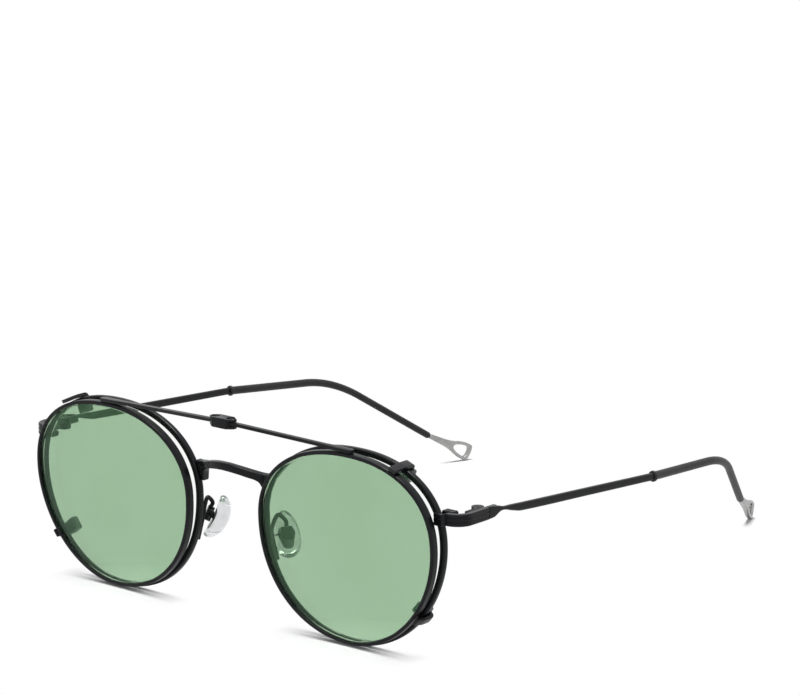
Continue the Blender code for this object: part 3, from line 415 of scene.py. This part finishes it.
frontShape = {"plane": -0.0707382, "wrapDeg": 1.0, "lensOut": 0.03655, "lensMiddle": 0.02315}
outlineShape = {
    "steps": 168, "fineSteps": 720, "apex": 0.0141, "widest": 0.079, "nasal": 0.514, "upper": 0.421,
    "upperNasal": 2.14, "upperTemple": 2.28, "lowerNasal": 2.13, "lowerTemple": 1.91,
}


def outlinePoint(turn, width, height):
    shape = outlineShape
    across, up = math.cos(turn), math.sin(turn)
    if up >= 0:
        power = shape["upperNasal"] if across >= 0 else shape["upperTemple"]
        reachUp = shape["upper"] * height
    else:
        power = shape["lowerNasal"] if across >= 0 else shape["lowerTemple"]
        reachUp = (1 - shape["upper"]) * height
    nasal = shape["nasal"] * width
    reachAcross = nasal if across >= 0 else width - nasal
    x = math.copysign(abs(across) ** (2 / power), across) * reachAcross - shape["apex"] * width
    z = math.copysign(abs(up) ** (2 / power), up) * reachUp + shape["widest"] * height
    return x, z


# A point of the flat left front, given by its place behind the front's middle plane, on the wrapped front
def wrapped(x, back, z):
    turn = math.radians(frontShape["wrapDeg"])
    across = x - frontShape["lensOut"]
    return Vector((
        frontShape["lensOut"] + across * math.cos(turn) - back * math.sin(turn),
        frontShape["plane"] + across * math.sin(turn) + back * math.cos(turn), z,
    ))


# How far behind the front's plane the wrapped rim lies, at a distance out from the nose
def frontAt(x):
    return (x - frontShape["lensOut"]) * math.tan(math.radians(frontShape["wrapDeg"]))


# Points evenly spaced along the lens edge of the left side, each with its outward normal
def lensEdge(size):
    fine = []
    for step in range(outlineShape["fineSteps"]):
        x, z = outlinePoint(2 * math.pi * step / outlineShape["fineSteps"], *size)
        fine.append(Vector((frontShape["lensOut"] - x, frontShape["lensMiddle"] + z)))
    points = evenlySpaced(fine + fine[:1], outlineShape["steps"] + 1)[:-1]
    edge = []
    for i, point in enumerate(points):
        along = points[(i + 1) % len(points)] - points[i - 1]
        edge.append((point, Vector((-along.y, along.x)).normalized()))
    return edge


# Rims: a grooved ring swept round the lens, its outer corners well rounded

rims = {
    "rim": {
        "size": (0.0507, 0.0442), "back": 0.0, "gap": 0.00015, "wall": 0.0009, "depth": 0.0016, "lip": 0.0003,
        "outerRound": 0.00048, "innerRound": 0.00018, "mouth": 0.0011, "floor": 0.0005, "arcSteps": 5,
        "leanDeg": 0,
    },
    "clip_rim": {
        "size": (0.0502, 0.0443), "back": -0.0038, "gap": 0.00012, "wall": 0.00048, "depth": 0.00205,
        "lip": 0.00028, "outerRound": 0.00036, "innerRound": 0.00014, "mouth": 0.0008, "floor": 0.0004,
        "arcSteps": 5, "leanDeg": 2.25,
    },
}
rimSmoothDeg = 32


# A point of a rim or its lens. Those of the clip turn about their top, so that their lower edge leans back
def onRim(shape, x, back, z):
    top = frontShape["lensMiddle"] + shape["size"][1] / 2 + shape["gap"] + shape["wall"]
    turn = math.radians(shape["leanDeg"])
    down = top - z
    leaned = shape["back"] + back * math.cos(turn) + down * math.sin(turn)
    return wrapped(x, leaned, top - down * math.cos(turn) + back * math.sin(turn))


def rimProfile(shape):
    outer, half = shape["gap"] + shape["wall"], shape["depth"] / 2
    mouth, floor = shape["mouth"] / 2, shape["floor"] / 2
    points = [(-shape["lip"], mouth), (shape["gap"], floor), (shape["gap"], -floor), (-shape["lip"], -mouth)]
    corners = (
        (-shape["lip"] + shape["innerRound"], -half + shape["innerRound"], shape["innerRound"], 180),
        (outer - shape["outerRound"], -half + shape["outerRound"], shape["outerRound"], 270),
        (outer - shape["outerRound"], half - shape["outerRound"], shape["outerRound"], 0),
        (-shape["lip"] + shape["innerRound"], half - shape["innerRound"], shape["innerRound"], 90),
    )
    for out, back, radius, start in corners:
        points += quarterArc(out, back, radius, start, shape["arcSteps"])
    return points


for part, shape in rims.items():
    profile = rimProfile(shape)
    sections = []
    for point, normal in lensEdge(shape["size"]):
        spots = [(point + normal * out, back) for out, back in profile]
        sections.append([onRim(shape, spot.x, back, spot.y) for spot, back in spots])
    for name, side in sides:
        torusOverSections(mirrored(sections, side), f"{name}_{part}", rimSmoothDeg)
print("rims made")


# Lenses: a sphere primitive flattened to two faces, both domed forwards, that meet in a V edge

lenses = {
    "clear_lens": {
        "rim": "rim", "thickness": 0.0012, "edge": 0.0003, "crown": 0.0017, "shoulder": 0.0004, "rings": 11,
    },
    "clip_lens": {
        "rim": "clip_rim", "thickness": 0.0008, "edge": 0.00024, "crown": 0.001, "shoulder": 0.00046,
        "rings": 11,
    },
}
lensSmoothDeg = 30
for part, shape in lenses.items():
    seat = rims[shape["rim"]]
    edge = lensEdge(seat["size"])
    centre = Vector((frontShape["lensOut"], frontShape["lensMiddle"]))
    shoulder = [p - n * shape["shoulder"] for p, n in edge]
    rim = [p for p, n in edge]
    shares = [math.sin(math.pi / 2 * (i + 1) / shape["rings"]) for i in range(shape["rings"])]
    half = shape["thickness"] / 2

    def domed(line, share, back):
        points = [centre + (p - centre) * share for p in line]
        bulge = shape["crown"] * (1 - share * share)
        return [onRim(seat, p.x, back - bulge, p.y) for p in points]

    sections = [domed(shoulder, share, -half) for share in shares]
    sections += [domed(rim, 1, -shape["edge"] / 2), domed(rim, 1, shape["edge"] / 2)]
    sections += [domed(shoulder, share, half) for share in reversed(shares)]
    poles = [onRim(seat, centre.x, back - shape["crown"], centre.y) for back in (-half, half)]
    for name, side in sides:
        ends = mirrored([poles], side)[0]
        sphereOverSections(mirrored(sections, side), f"{name}_{part}", lensSmoothDeg, ends)
print("lenses made")


# Bridge: an arch bowed forward between the rims, drawn as rounded sections across it

bridgeShape = {
    "rise": 0.0069, "topHeight": 0.0375, "bow": 0.0043, "back": 0.0008, "barDepth": 0.0021,
    "footDepth": 0.0021, "footSide": 0.0097, "footEdge": 0.0003, "round": 0.00045, "stations": 30,
    "contactStations": 9, "arcSteps": 4, "roundLimit": 2.2, "smoothDeg": 38,
    "top": (
        (0.0, 1.0), (0.12, 0.993), (0.25, 0.96), (0.417, 0.896), (0.583, 0.809), (0.75, 0.714), (0.88, 0.678),
        (1.0, 0.675),
    ),
    "under": (
        (0.0, 0.735), (0.17, 0.72), (0.34, 0.685), (0.5, 0.635), (0.63, 0.575), (0.75, 0.52), (0.83, 0.468),
        (0.9, 0.38), (0.95, 0.22), (0.985, 0.06), (1.0, 0.0),
    ),
}


# Where the left rim's outline, grown by a gap, crosses a height on the nose side
def rimCrossing(height, gapHere=rims["rim"]["gap"]):
    shape = rims["rim"]
    points = [p + n * (shape["gap"] + shape["wall"] + gapHere) for p, n in lensEdge(shape["size"])]
    found = []
    for a, b in zip(points, points[1:] + points[:1]):
        if (a.y - height) * (b.y - height) <= 0 and a.y != b.y:
            found.append(a.x + (b.x - a.x) * (height - a.y) / (b.y - a.y))
    return min(found)


shape = bridgeShape
frontPlane = frontShape["plane"]
low = shape["topHeight"] - shape["rise"]
endTop = low + shape["rise"] * shape["top"][-1][1]
span = rimCrossing(endTop - shape["footEdge"])
footSide = min(shape["footSide"], rimCrossing(low + shape["footEdge"]) - shape["footEdge"])
stations = []
for step in range(shape["stations"] + 1):
    share = math.sin(math.pi / 2 * step / shape["stations"])
    stations.append((share * footSide, low + shape["rise"] * max(0.0, tableAt(shape["under"], share))))
for step in range(shape["contactStations"] + 1):
    z = low + (endTop - shape["footEdge"] - low) * step / shape["contactStations"]
    stations.append((rimCrossing(z), z))
half = []
for x, under in stations:
    top = low + shape["rise"] * tableAt(shape["top"], x / span)
    inward = max(0.0, 1 - (x / footSide) ** 2)
    depth = shape["footDepth"] + (shape["barDepth"] - shape["footDepth"]) * inward
    radius = min(shape["round"], (top - under) / shape["roundLimit"])
    corners = roundedRectangle((-depth / 2, under), (depth / 2, top), radius, shape["arcSteps"])
    plane = frontPlane + frontAt(max(x, footSide)) + shape["back"] - shape["bow"] * inward
    half.append([Vector((x, plane + back, z)) for back, z in corners])
whole = [[Vector((-p.x, p.y, p.z)) for p in section] for section in reversed(half[1:])] + half
sphereOverSections(whole, "bridge", shape["smoothDeg"])
print("bridge made")


# End pieces: three rounded ribs that leave the rim, turn the corner and run back to the joint

endShape = {
    "height": 0.034, "tall": 0.0029, "thick": 0.0014, "pastRim": 0.0038, "cornerRadius": 0.003534,
    "length": 0.01015, "edge": 0.00028, "ribs": 3, "ribSteps": 9, "ribDepth": 0.00026, "cornerSteps": 18,
    "startSteps": 8, "legSteps": 4, "edgeSteps": 3, "lapReach": 0.0023, "lapForward": 0.0014,
    "lapThick": 0.0009, "lapEnd": 0.0009, "ribPower": 3.2, "smoothDeg": 38,
}


# From 0 to 1 with a soft start and end
def smoothStep(share):
    share = min(1.0, max(0.0, share))
    return share * share * (3 - 2 * share)


# Outer face with its ribs from the top down, then the rounded inner face back up
def ribbedSection(shape):
    halfTall, halfThick = shape["tall"] / 2, shape["thick"] / 2
    ribTall = shape["tall"] / shape["ribs"]
    points = []
    for rib in range(shape["ribs"]):
        for step in range(shape["ribSteps"]):
            share = (step + 0.5) / shape["ribSteps"] * 2 - 1
            z = halfTall - ribTall * (rib + (share + 1) / 2)
            points.append((halfThick - shape["ribDepth"] * abs(share) ** shape["ribPower"], z))
    inner = shape["edge"] - halfThick
    for level, start in ((shape["edge"] - halfTall, 270), (halfTall - shape["edge"], 180)):
        points += quarterArc(inner, level, shape["edge"], start, shape["edgeSteps"], -90)
    return points


shape = endShape
section = ribbedSection(shape)
rimSide = (
    frontShape["lensOut"] + (1 - outlineShape["nasal"] + outlineShape["apex"]) * rims["rim"]["size"][0]
    + rims["rim"]["gap"] + rims["rim"]["wall"]
)
endReach = rimSide + shape["pastRim"]
cornerX = endReach - shape["cornerRadius"]
endPlane = frontPlane + frontAt(rimSide)
sections = []

# The start laps over the rim's front face, then steps back into line with the rim
lapStart = rimSide - shape["lapReach"]
for step in range(shape["startSteps"]):
    x = lapStart + (cornerX - lapStart) * step / shape["startSteps"]
    lapped = 1 - smoothStep((x - rimSide) / shape["lapEnd"])
    thin = 1 + (shape["lapThick"] / shape["thick"] - 1) * lapped
    y = endPlane - shape["lapForward"] * lapped
    sections.append([(x, y - n * thin, shape["height"] + z) for n, z in section])
for step in range(shape["cornerSteps"] + 1):
    turn = math.pi / 2 * step / shape["cornerSteps"]
    ring = []
    for n, z in section:
        radius = shape["cornerRadius"] + n
        x = cornerX + radius * math.sin(turn)
        y = endPlane + shape["cornerRadius"] - radius * math.cos(turn)
        ring.append((x, y, shape["height"] + z))
    sections.append(ring)
legStart, legEnd = endPlane + shape["cornerRadius"], frontPlane + shape["length"]
for step in range(1, shape["legSteps"] + 1):
    y = legStart + (legEnd - legStart) * step / shape["legSteps"]
    sections.append([(endReach + n, y, shape["height"] + z) for n, z in section])
for name, side in sides:
    sphereOverSections(mirrored(sections, side), name + "_end_piece", shape["smoothDeg"])
print("end pieces made")


# Small parts keep their machined form. Their edges are rounded by a width, in a number of steps

machined = {
    "lock_upper": (0.00022, 3), "lock_lower": (0.00022, 3), "lock_screw": (0.00005, 2),
    "hinge_front": (0.00016, 2), "hinge_temple": (0.00016, 2), "hinge_screw": (0.00005, 2),
    "link_screw": (0.00004, 2), "pad_box": (0.00016, 2), "pad_core": (0.00008, 2), "pad_screw": (0.00004, 2),
    "brow_bar": (0.00024, 3), "upper_claw": (0.00038, 4), "lower_claw": (0.00038, 4),
}
clawTubes = {"upper_claw_sleeve": (0.00016, 3), "lower_claw_sleeve": (0.00016, 3)}
linkEdges = (0.00014, 3)
for name, side in sides:
    for part, (width, segments) in machined.items():
        roundedCopy(f"{name}_{part}", width, segments)
    for part, (width, segments) in clawTubes.items():
        roundedCopy(f"{name}_{part}", width, segments, tubing)
roundedCopy("fold_link", *linkEdges)
print("machined parts made")


# Temples: a flat bar with a waist behind the joint, then the round core wire that the sleeve hides

templeShape = {
    "jointBack": 0.01045, "collar": (0.0011, 0.0611, -0.004), "bend": (-0.003, 0.0977, -0.0072),
    "tip": (-0.0153, 0.1233), "bendRadius": 0.032, "bendSteps": 30, "thick": 0.0012, "halfTall": 0.00145,
    "round": 0.00042, "roundLimit": 2.1, "arcSteps": 4, "endGap": 0.0003, "coreRadius": 0.00045,
    "waistShare": 0.28, "waistSteps": 28, "waistPower": 1.15, "barSteps": 14, "straightSteps": 6,
    "smoothDeg": 35,
    "top": (
        (0.0, 1.0), (0.018, 0.99), (0.035, 0.93), (0.062, 0.8), (0.088, 0.56), (0.139, 0.57), (0.19, 0.55),
        (0.6, 0.58), (1.0, 0.6),
    ),
    "under": (
        (0.0, -1.0), (0.018, -0.93), (0.035, -0.78), (0.062, -0.16), (0.088, 0.0), (0.139, -0.42),
        (0.19, -0.74), (0.6, -0.7), (1.0, -0.62),
    ),
}
loopShape = {
    "length": 0.0143, "halfWidth": 0.00235, "thick": 0.0013, "round": 0.00042, "roundLimit": 2.2,
    "lead": 0.00055, "steps": 96, "fineSteps": 160, "arcSteps": 4, "smoothDeg": 40,
    "along": (-0.32, 0.83, -0.455), "across": (-0.14, 0.42, 0.9),
    "outline": (
        (0.0, 0.0), (0.0, 0.26), (0.3, 0.37), (0.48, 0.48), (0.6, 0.64), (0.7, 0.84), (0.8, 0.97),
        (0.88, 1.0), (0.95, 0.985), (0.985, 0.93), (1.0, 0.8), (1.015, 0.45), (1.02, 0.0),
    ),
    "hole": (
        (0.605, 0.0), (0.612, 0.15), (0.64, 0.3), (0.7, 0.46), (0.78, 0.58), (0.85, 0.63), (0.895, 0.6),
        (0.92, 0.48), (0.932, 0.25), (0.935, 0.0),
    ),
}
sleeveShape = {
    "tall": 0.0021, "thick": 0.0019, "endTall": 0.0018, "sides": 24, "collarLength": 0.0009,
    "collarProud": 0.0006, "endTaper": 0.0003, "endRound": 0.0004, "coreSlip": 0.00015, "start": 0.0003,
    "endShares": (0.5, 0.85, 1.0), "smoothDeg": 40,
    "collar": ((0.0, 0.35), (0.1, 0.8), (0.3, 1.0), (0.7, 1.0), (0.9, 0.6), (1.0, 0.0)),
}

bar, loop, sleeve = templeShape, loopShape, sleeveShape
loopAlong = Vector(loop["along"]).normalized()
loopAcross = (Vector(loop["across"]) - loopAlong * loopAlong.dot(Vector(loop["across"]))).normalized()
loopThrough = loopAlong.cross(loopAcross).normalized()
loopLow = min(
    (loopAlong * a * loop["length"] + loopAcross * w * side * loop["halfWidth"]).z
    for a, w in loop["outline"] for side in (1, -1)
)
joint = Vector((endReach, frontPlane + bar["jointBack"], endShape["height"]))
collar = joint + Vector(bar["collar"])
bend = joint + Vector(bar["bend"])
tipHeight = loop["thick"] / 2 * abs(loopThrough.z) - loopLow - loopAlong.z * loop["lead"]
sleeveEnd = Vector((joint.x + bar["tip"][0], joint.y + bar["tip"][1], tipHeight))


# The middle line of the sleeve: straight, one round bend, and straight to the tip
def templeCurve():
    back, on = (collar - bend).normalized(), (sleeveEnd - bend).normalized()
    halfAngle = back.angle(on) / 2
    reach = bar["bendRadius"] / math.tan(halfAngle)
    centre = bend + (back + on).normalized() * bar["bendRadius"] / math.sin(halfAngle)
    first, last = bend + back * reach - centre, bend + on * reach - centre
    sweep = first.angle(last)
    straight = bend + back * reach
    parts = bar["straightSteps"]
    points = [collar.lerp(straight, i / parts) for i in range(parts)]
    for step in range(bar["bendSteps"] + 1):
        share = step / bar["bendSteps"]
        before = math.sin((1 - share) * sweep) / math.sin(sweep)
        after = math.sin(share * sweep) / math.sin(sweep)
        points.append(centre + first * before + last * after)
    landing = points[-1]
    points += [landing.lerp(sleeveEnd, i / parts) for i in range(1, parts + 1)]
    return points


way = (collar - joint).normalized()
upright = (Vector((0, 0, 1)) - way * way.z).normalized()
outward = way.cross(upright)
barSections = []
waist = bar["waistShare"]
stationShares = [waist * (i / bar["waistSteps"]) ** bar["waistPower"] for i in range(bar["waistSteps"] + 1)]
stationShares += [waist + (1 - waist) * (i + 1) / bar["barSteps"] for i in range(bar["barSteps"])]
for share in stationShares:
    spot = joint.lerp(collar, share)
    high, low = bar["halfTall"] * tableAt(bar["top"], share), bar["halfTall"] * tableAt(bar["under"], share)
    radius = min(bar["round"], (high - low) / bar["roundLimit"])
    corners = roundedRectangle((-bar["thick"] / 2, low), (bar["thick"] / 2, high), radius, bar["arcSteps"])
    barSections.append([spot + outward * across + upright * up for across, up in corners])
barSections[0] = [Vector((p.x, joint.y, p.z)) for p in barSections[0]]
count = len(barSections[0])
curve = templeCurve()
core = list(curve)
core[-1] = core[-1] - (core[-1] - core[-2]).normalized() * bar["endGap"]
for point, _, raised, across in uprightFrames(core):
    ring = []
    for i in range(count):
        turn = 2 * math.pi * (i + 0.5) / count
        aside = point + across * math.cos(turn) * bar["coreRadius"]
        ring.append(aside + raised * math.sin(turn) * bar["coreRadius"])
    barSections.append(ring)
for name, side in sides:
    sphereOverSections(mirrored(barSections, side), name + "_temple", bar["smoothDeg"])

frames = uprightFrames(curve)
start, way0, up0, out0 = frames[0]
lead = start + way0 * sleeve["start"]
outer = []
for share, proud in sleeve["collar"]:
    more = sleeve["collarProud"] * proud
    here = (lead + way0 * sleeve["collarLength"] * share, way0, up0, out0)
    outer.append(ovalSection(here, sleeve["tall"] + more, sleeve["thick"] + more, sleeve["sides"]))
for i, here in enumerate(frames[1:], 1):
    tall = sleeve["tall"] + (sleeve["endTall"] - sleeve["tall"]) * i / (len(frames) - 1)
    outer.append(ovalSection(here, tall, sleeve["thick"], sleeve["sides"]))
endPoint, endWay, endUp, endOut = frames[-1]
for share in sleeve["endShares"]:
    taper = sleeve["endTaper"] * (1 - math.sqrt(1 - share * share))
    here = (endPoint + endWay * sleeve["endRound"] * share, endWay, endUp, endOut)
    outer.append(ovalSection(here, sleeve["endTall"] - taper, sleeve["thick"] - taper, sleeve["sides"]))
bore = 2 * (bar["coreRadius"] + sleeve["coreSlip"])
inner = [ovalSection((lead, way0, up0, out0), bore, bore, sleeve["sides"])]
inner += [ovalSection(here, bore, bore, sleeve["sides"]) for here in frames[1:]]
here = (endPoint + endWay * sleeve["endRound"], endWay, endUp, endOut)
inner.append(ovalSection(here, bore, bore, sleeve["sides"]))
for name, side in sides:
    torusOverSections(mirrored(outer + inner[::-1], side), name + "_temple_sleeve", sleeve["smoothDeg"])
print("temples made")


# Tip loops: a flat eye on a long neck, its outline and its hole walked together round the eye

# One side of the eye's outline or hole, smooth after any corners that come first
def halfOutline(shares, count, cornerFirst=0):
    points = [Vector((a * loop["length"], w * loop["halfWidth"], 0)) for a, w in shares]
    curved = points[:cornerFirst] + smoothLine(points[cornerFirst:], loop["fineSteps"])
    return evenlySpaced(curved, count)


halfCount = loop["steps"] // 2 + 1
outerHalf = halfOutline(loop["outline"], halfCount, 1)
holeHalf = halfOutline(loop["hole"], halfCount)
outerLine = outerHalf + [Vector((p.x, -p.y, 0)) for p in outerHalf[-2:0:-1]]
holeLine = holeHalf + [Vector((p.x, -p.y, 0)) for p in holeHalf[-2:0:-1]]
loopStart = sleeveEnd + loopAlong * loop["lead"]
sections = []
for outerPoint, holePoint in zip(outerLine, holeLine):
    across = outerPoint - holePoint
    width = across.length
    flat = across.normalized()
    radius = min(loop["round"], width / loop["roundLimit"])
    corners = roundedRectangle((0, -loop["thick"] / 2), (width, loop["thick"] / 2), radius, loop["arcSteps"])
    ring = []
    for reach, deep in corners:
        spot = holePoint + flat * reach
        ring.append(loopStart + loopAlong * spot.x + loopAcross * spot.y + loopThrough * deep)
    sections.append(ring)
for name, side in sides:
    torusOverSections(mirrored(sections, side), name + "_tip_loop", loop["smoothDeg"])
print("tip loops made")


# Nose pads: clear banana-shaped pads that lean in towards the nose, on swan-neck arms

padShape = {
    "pivot": (0.012729, -0.065984, 0.020924), "down": (0.38, -0.19, -0.905), "widthWay": (0.66, 0.75, 0.0),
    "halfLength": 0.0056, "halfWidth": 0.0033, "thick": 0.0022, "bend": 0.0011, "standOff": 0.0015,
    "sides": 48, "lower": 0.14, "rings": 16, "smoothDeg": 50,
    "rounding": ((0.0, 0.9), (0.12, 0.97), (0.35, 1.0), (0.62, 0.92), (0.82, 0.74), (0.94, 0.48), (1.0, 0.2)),
}
armShape = {
    "radius": 0.0005, "sides": 16, "solderLow": 0.0155, "solderHigh": 0.0215, "rise": 0.0021,
    "crestRise": 0.003, "seatShare": 0.3, "points": 60, "boxHalfHeight": 0.0014, "boxHalfDepth": 0.001,
    "gap": 0.00015, "smoothDeg": 50,
}
pad = padShape
padDown = Vector(pad["down"]).normalized()
padAcross = (Vector(pad["widthWay"]) - padDown * padDown.dot(Vector(pad["widthWay"]))).normalized()
padInward = -padDown.cross(Vector(pad["widthWay"]).normalized())
padPivot = Vector(pad["pivot"])


def onPad(down, across, inward):
    return padPivot + padDown * down + padAcross * across + padInward * inward


sections = []
for spot in smoothLine([Vector((d, r, 0)) for d, r in pad["rounding"]], pad["rings"]):
    depth, spread = spot.x, spot.y
    ring = []
    for i in range(pad["sides"]):
        turn = 2 * math.pi * i / pad["sides"]
        down = math.cos(turn) * spread
        narrow = 1 + pad["lower"] * math.cos(turn)
        across = math.sin(turn) * pad["halfWidth"] * spread * narrow
        inward = pad["standOff"] + depth * pad["thick"] + pad["bend"] * (depth - down * down)
        ring.append(onPad(down * pad["halfLength"], across, inward))
    sections.append(ring)
for name, side in sides:
    sphereOverSections(mirrored(sections, side), name + "_nose_pad", pad["smoothDeg"])

arm = armShape
behind = frontPlane + rims["rim"]["depth"] / 2 + arm["gap"] + arm["radius"]


# The wire's line on the back of the rim, a share of the rim's wall out from the lens edge
def soldered(height):
    x = rimCrossing(height, (arm["seatShare"] - 1) * (rims["rim"]["gap"] + rims["rim"]["wall"]))
    return Vector((x, behind + frontAt(x), height))


entry = onPad(-arm["boxHalfHeight"] - arm["gap"], 0, -arm["boxHalfDepth"] + arm["radius"])
low, high = soldered(arm["solderLow"]), soldered(arm["solderHigh"])
rise = high + Vector((0, arm["radius"], arm["rise"]))
crest = Vector(((high.x * 3 + entry.x) / 4, (high.y + entry.y) / 2, entry.z + arm["crestRise"]))
over = entry - padDown * arm["boxHalfHeight"]
route = smoothLine([low, high, rise, crest, over, entry], arm["points"])
wide = arm["radius"] * 2
sections = [ovalSection(here, wide, wide, arm["sides"]) for here in wireFrames(route)]
for name, side in sides:
    sphereOverSections(mirrored(sections, side), name + "_pad_arm", arm["smoothDeg"])
print("nose pads and arms made")


# Floor, light and camera

studio = {
    "worldLight": 0.22, "floorSize": 12, "floorDrop": 0.00002, "paperPale": (0.905, 0.905, 0.91),
    "paperDeep": (0.895, 0.895, 0.905), "paperGrain": 4.0, "paperRoughness": 0.9,
}
softboxes = {
    "overheadSoftbox": {"place": (-0.05, -0.02, 1.5), "aim": (0, 0, 0), "size": 0.5, "power": 24},
    "sideSoftbox": {"place": (1.3, -0.6, 0.9), "aim": (0, 0, 0.02), "size": 0.7, "power": 3},
}

# The floor is as bright as the sky, but for a shadow round the places where the rims and the tips rest. It
# is full up to the first distance from such a place and gone at the second
restShadow = {
    "strength": 0.94,
    "spots": (((0.036, -0.0722, 0), (0.005, 0.021)), ((0.0475, 0.0735, 0), (0.003, 0.0075))),
}


def mathOf(tree, operation, first, second):
    node = addNode(tree, "ShaderNodeMath", operation=operation)
    tree.links.new(first, node.inputs[0])
    tree.links.new(second, node.inputs[1])
    return node.outputs[0]


def blendOf(tree, factor, first, second):
    blend = addNode(tree, "ShaderNodeMixShader")
    for source, socket in zip((factor, first, second), blend.inputs):
        tree.links.new(source, socket)
    return blend.outputs[0]


# One where the camera looks straight at a surface, in a reflection or through a lens, and zero for
# diffuse light
def seenStraight(tree):
    ways = addNode(tree, "ShaderNodeLightPath").outputs
    straight = mathOf(tree, "MAXIMUM", ways["Is Camera Ray"], ways["Is Glossy Ray"])
    return mathOf(tree, "MAXIMUM", straight, ways["Is Transmission Ray"])


deselectAll()
bpy.ops.mesh.primitive_plane_add(size=studio["floorSize"], location=(0, 0, -studio["floorDrop"]))
floor = bpy.context.object
floor.name = "floor"
bpy.ops.object.transform_apply(location=True, rotation=True, scale=True)
floorPaint, tree, shader = newMaterial("palePaper")
shader.inputs["Roughness"].default_value = studio["paperRoughness"]
shader.inputs["Specular IOR Level"].default_value = 0
grain = noiseAt(tree, studio["paperGrain"], detail=4)
paper = rampOf(tree, grain, (studio["paperDeep"], studio["paperPale"]))
tree.links.new(paper, shader.inputs["Base Color"])
glow = addNode(tree, "ShaderNodeEmission")
glow.inputs["Strength"].default_value = 1
onPaper = addNode(tree, "ShaderNodeTexCoord").outputs["Object"]
glowShares = []
for spot, reachSpan in restShadow["spots"]:
    for name, side in sides:
        reach = addNode(tree, "ShaderNodeVectorMath", operation="DISTANCE")
        tree.links.new(onPaper, reach.inputs[0])
        reach.inputs[1].default_value = (side * spot[0], spot[1], spot[2])
        glowShares.append(rangeOf(tree, reach.outputs["Value"], 1 - restShadow["strength"], 1, reachSpan))
glowShare = glowShares[0]
for other in glowShares[1:]:
    glowShare = mathOf(tree, "MINIMUM", glowShare, other)
share = mathOf(tree, "MULTIPLY", seenStraight(tree), glowShare)
floorLook = blendOf(tree, share, shader.outputs[0], glow.outputs[0])
tree.links.new(floorLook, tree.nodes["Material Output"].inputs["Surface"])
floor.data.materials.append(floorPaint)

world = bpy.data.worlds.new("paleStudio")
scene.world = world
world.use_nodes = True
tree = world.node_tree
lightSky = tree.nodes["Background"]
lightSky.inputs["Color"].default_value = (1, 1, 1, 1)
lightSky.inputs["Strength"].default_value = studio["worldLight"]
seenSky = addNode(tree, "ShaderNodeBackground")
seenSky.inputs["Color"].default_value = (1, 1, 1, 1)
skyLook = blendOf(tree, seenStraight(tree), lightSky.outputs[0], seenSky.outputs[0])
tree.links.new(skyLook, tree.nodes["World Output"].inputs["Surface"])

for name, box in softboxes.items():
    light = bpy.data.lights.new(name, "AREA")
    light.shape = "SQUARE"
    light.size = box["size"]
    light.energy = box["power"]
    lamp = bpy.data.objects.new(name, light)
    scene.collection.objects.link(lamp)
    lamp.location = box["place"]
    lamp.rotation_euler = (Vector(box["aim"]) - Vector(box["place"])).to_track_quat("-Z", "Y").to_euler()

view = {
    "place": (0.520603, -0.637857, 0.238643), "azimuth": 39.693, "elevation": 12.798, "lens": 153.55,
    "sensorWidth": 36, "nearest": 0.05, "furthest": 30,
}
camera = bpy.data.objects.new("photoCamera", bpy.data.cameras.new("photoCamera"))
scene.collection.objects.link(camera)
camera.data.lens = view["lens"]
camera.data.sensor_width = view["sensorWidth"]
camera.data.clip_start = view["nearest"]
camera.data.clip_end = view["furthest"]
turn, tilt = math.radians(view["azimuth"]), math.radians(view["elevation"])
looking = Vector((-math.sin(turn) * math.cos(tilt), math.cos(turn) * math.cos(tilt), -math.sin(tilt)))
camera.location = view["place"]
camera.rotation_euler = looking.to_track_quat("-Z", "Y").to_euler()
scene.camera = camera
scene.view_settings.view_transform = "Standard"
print("studio ready")
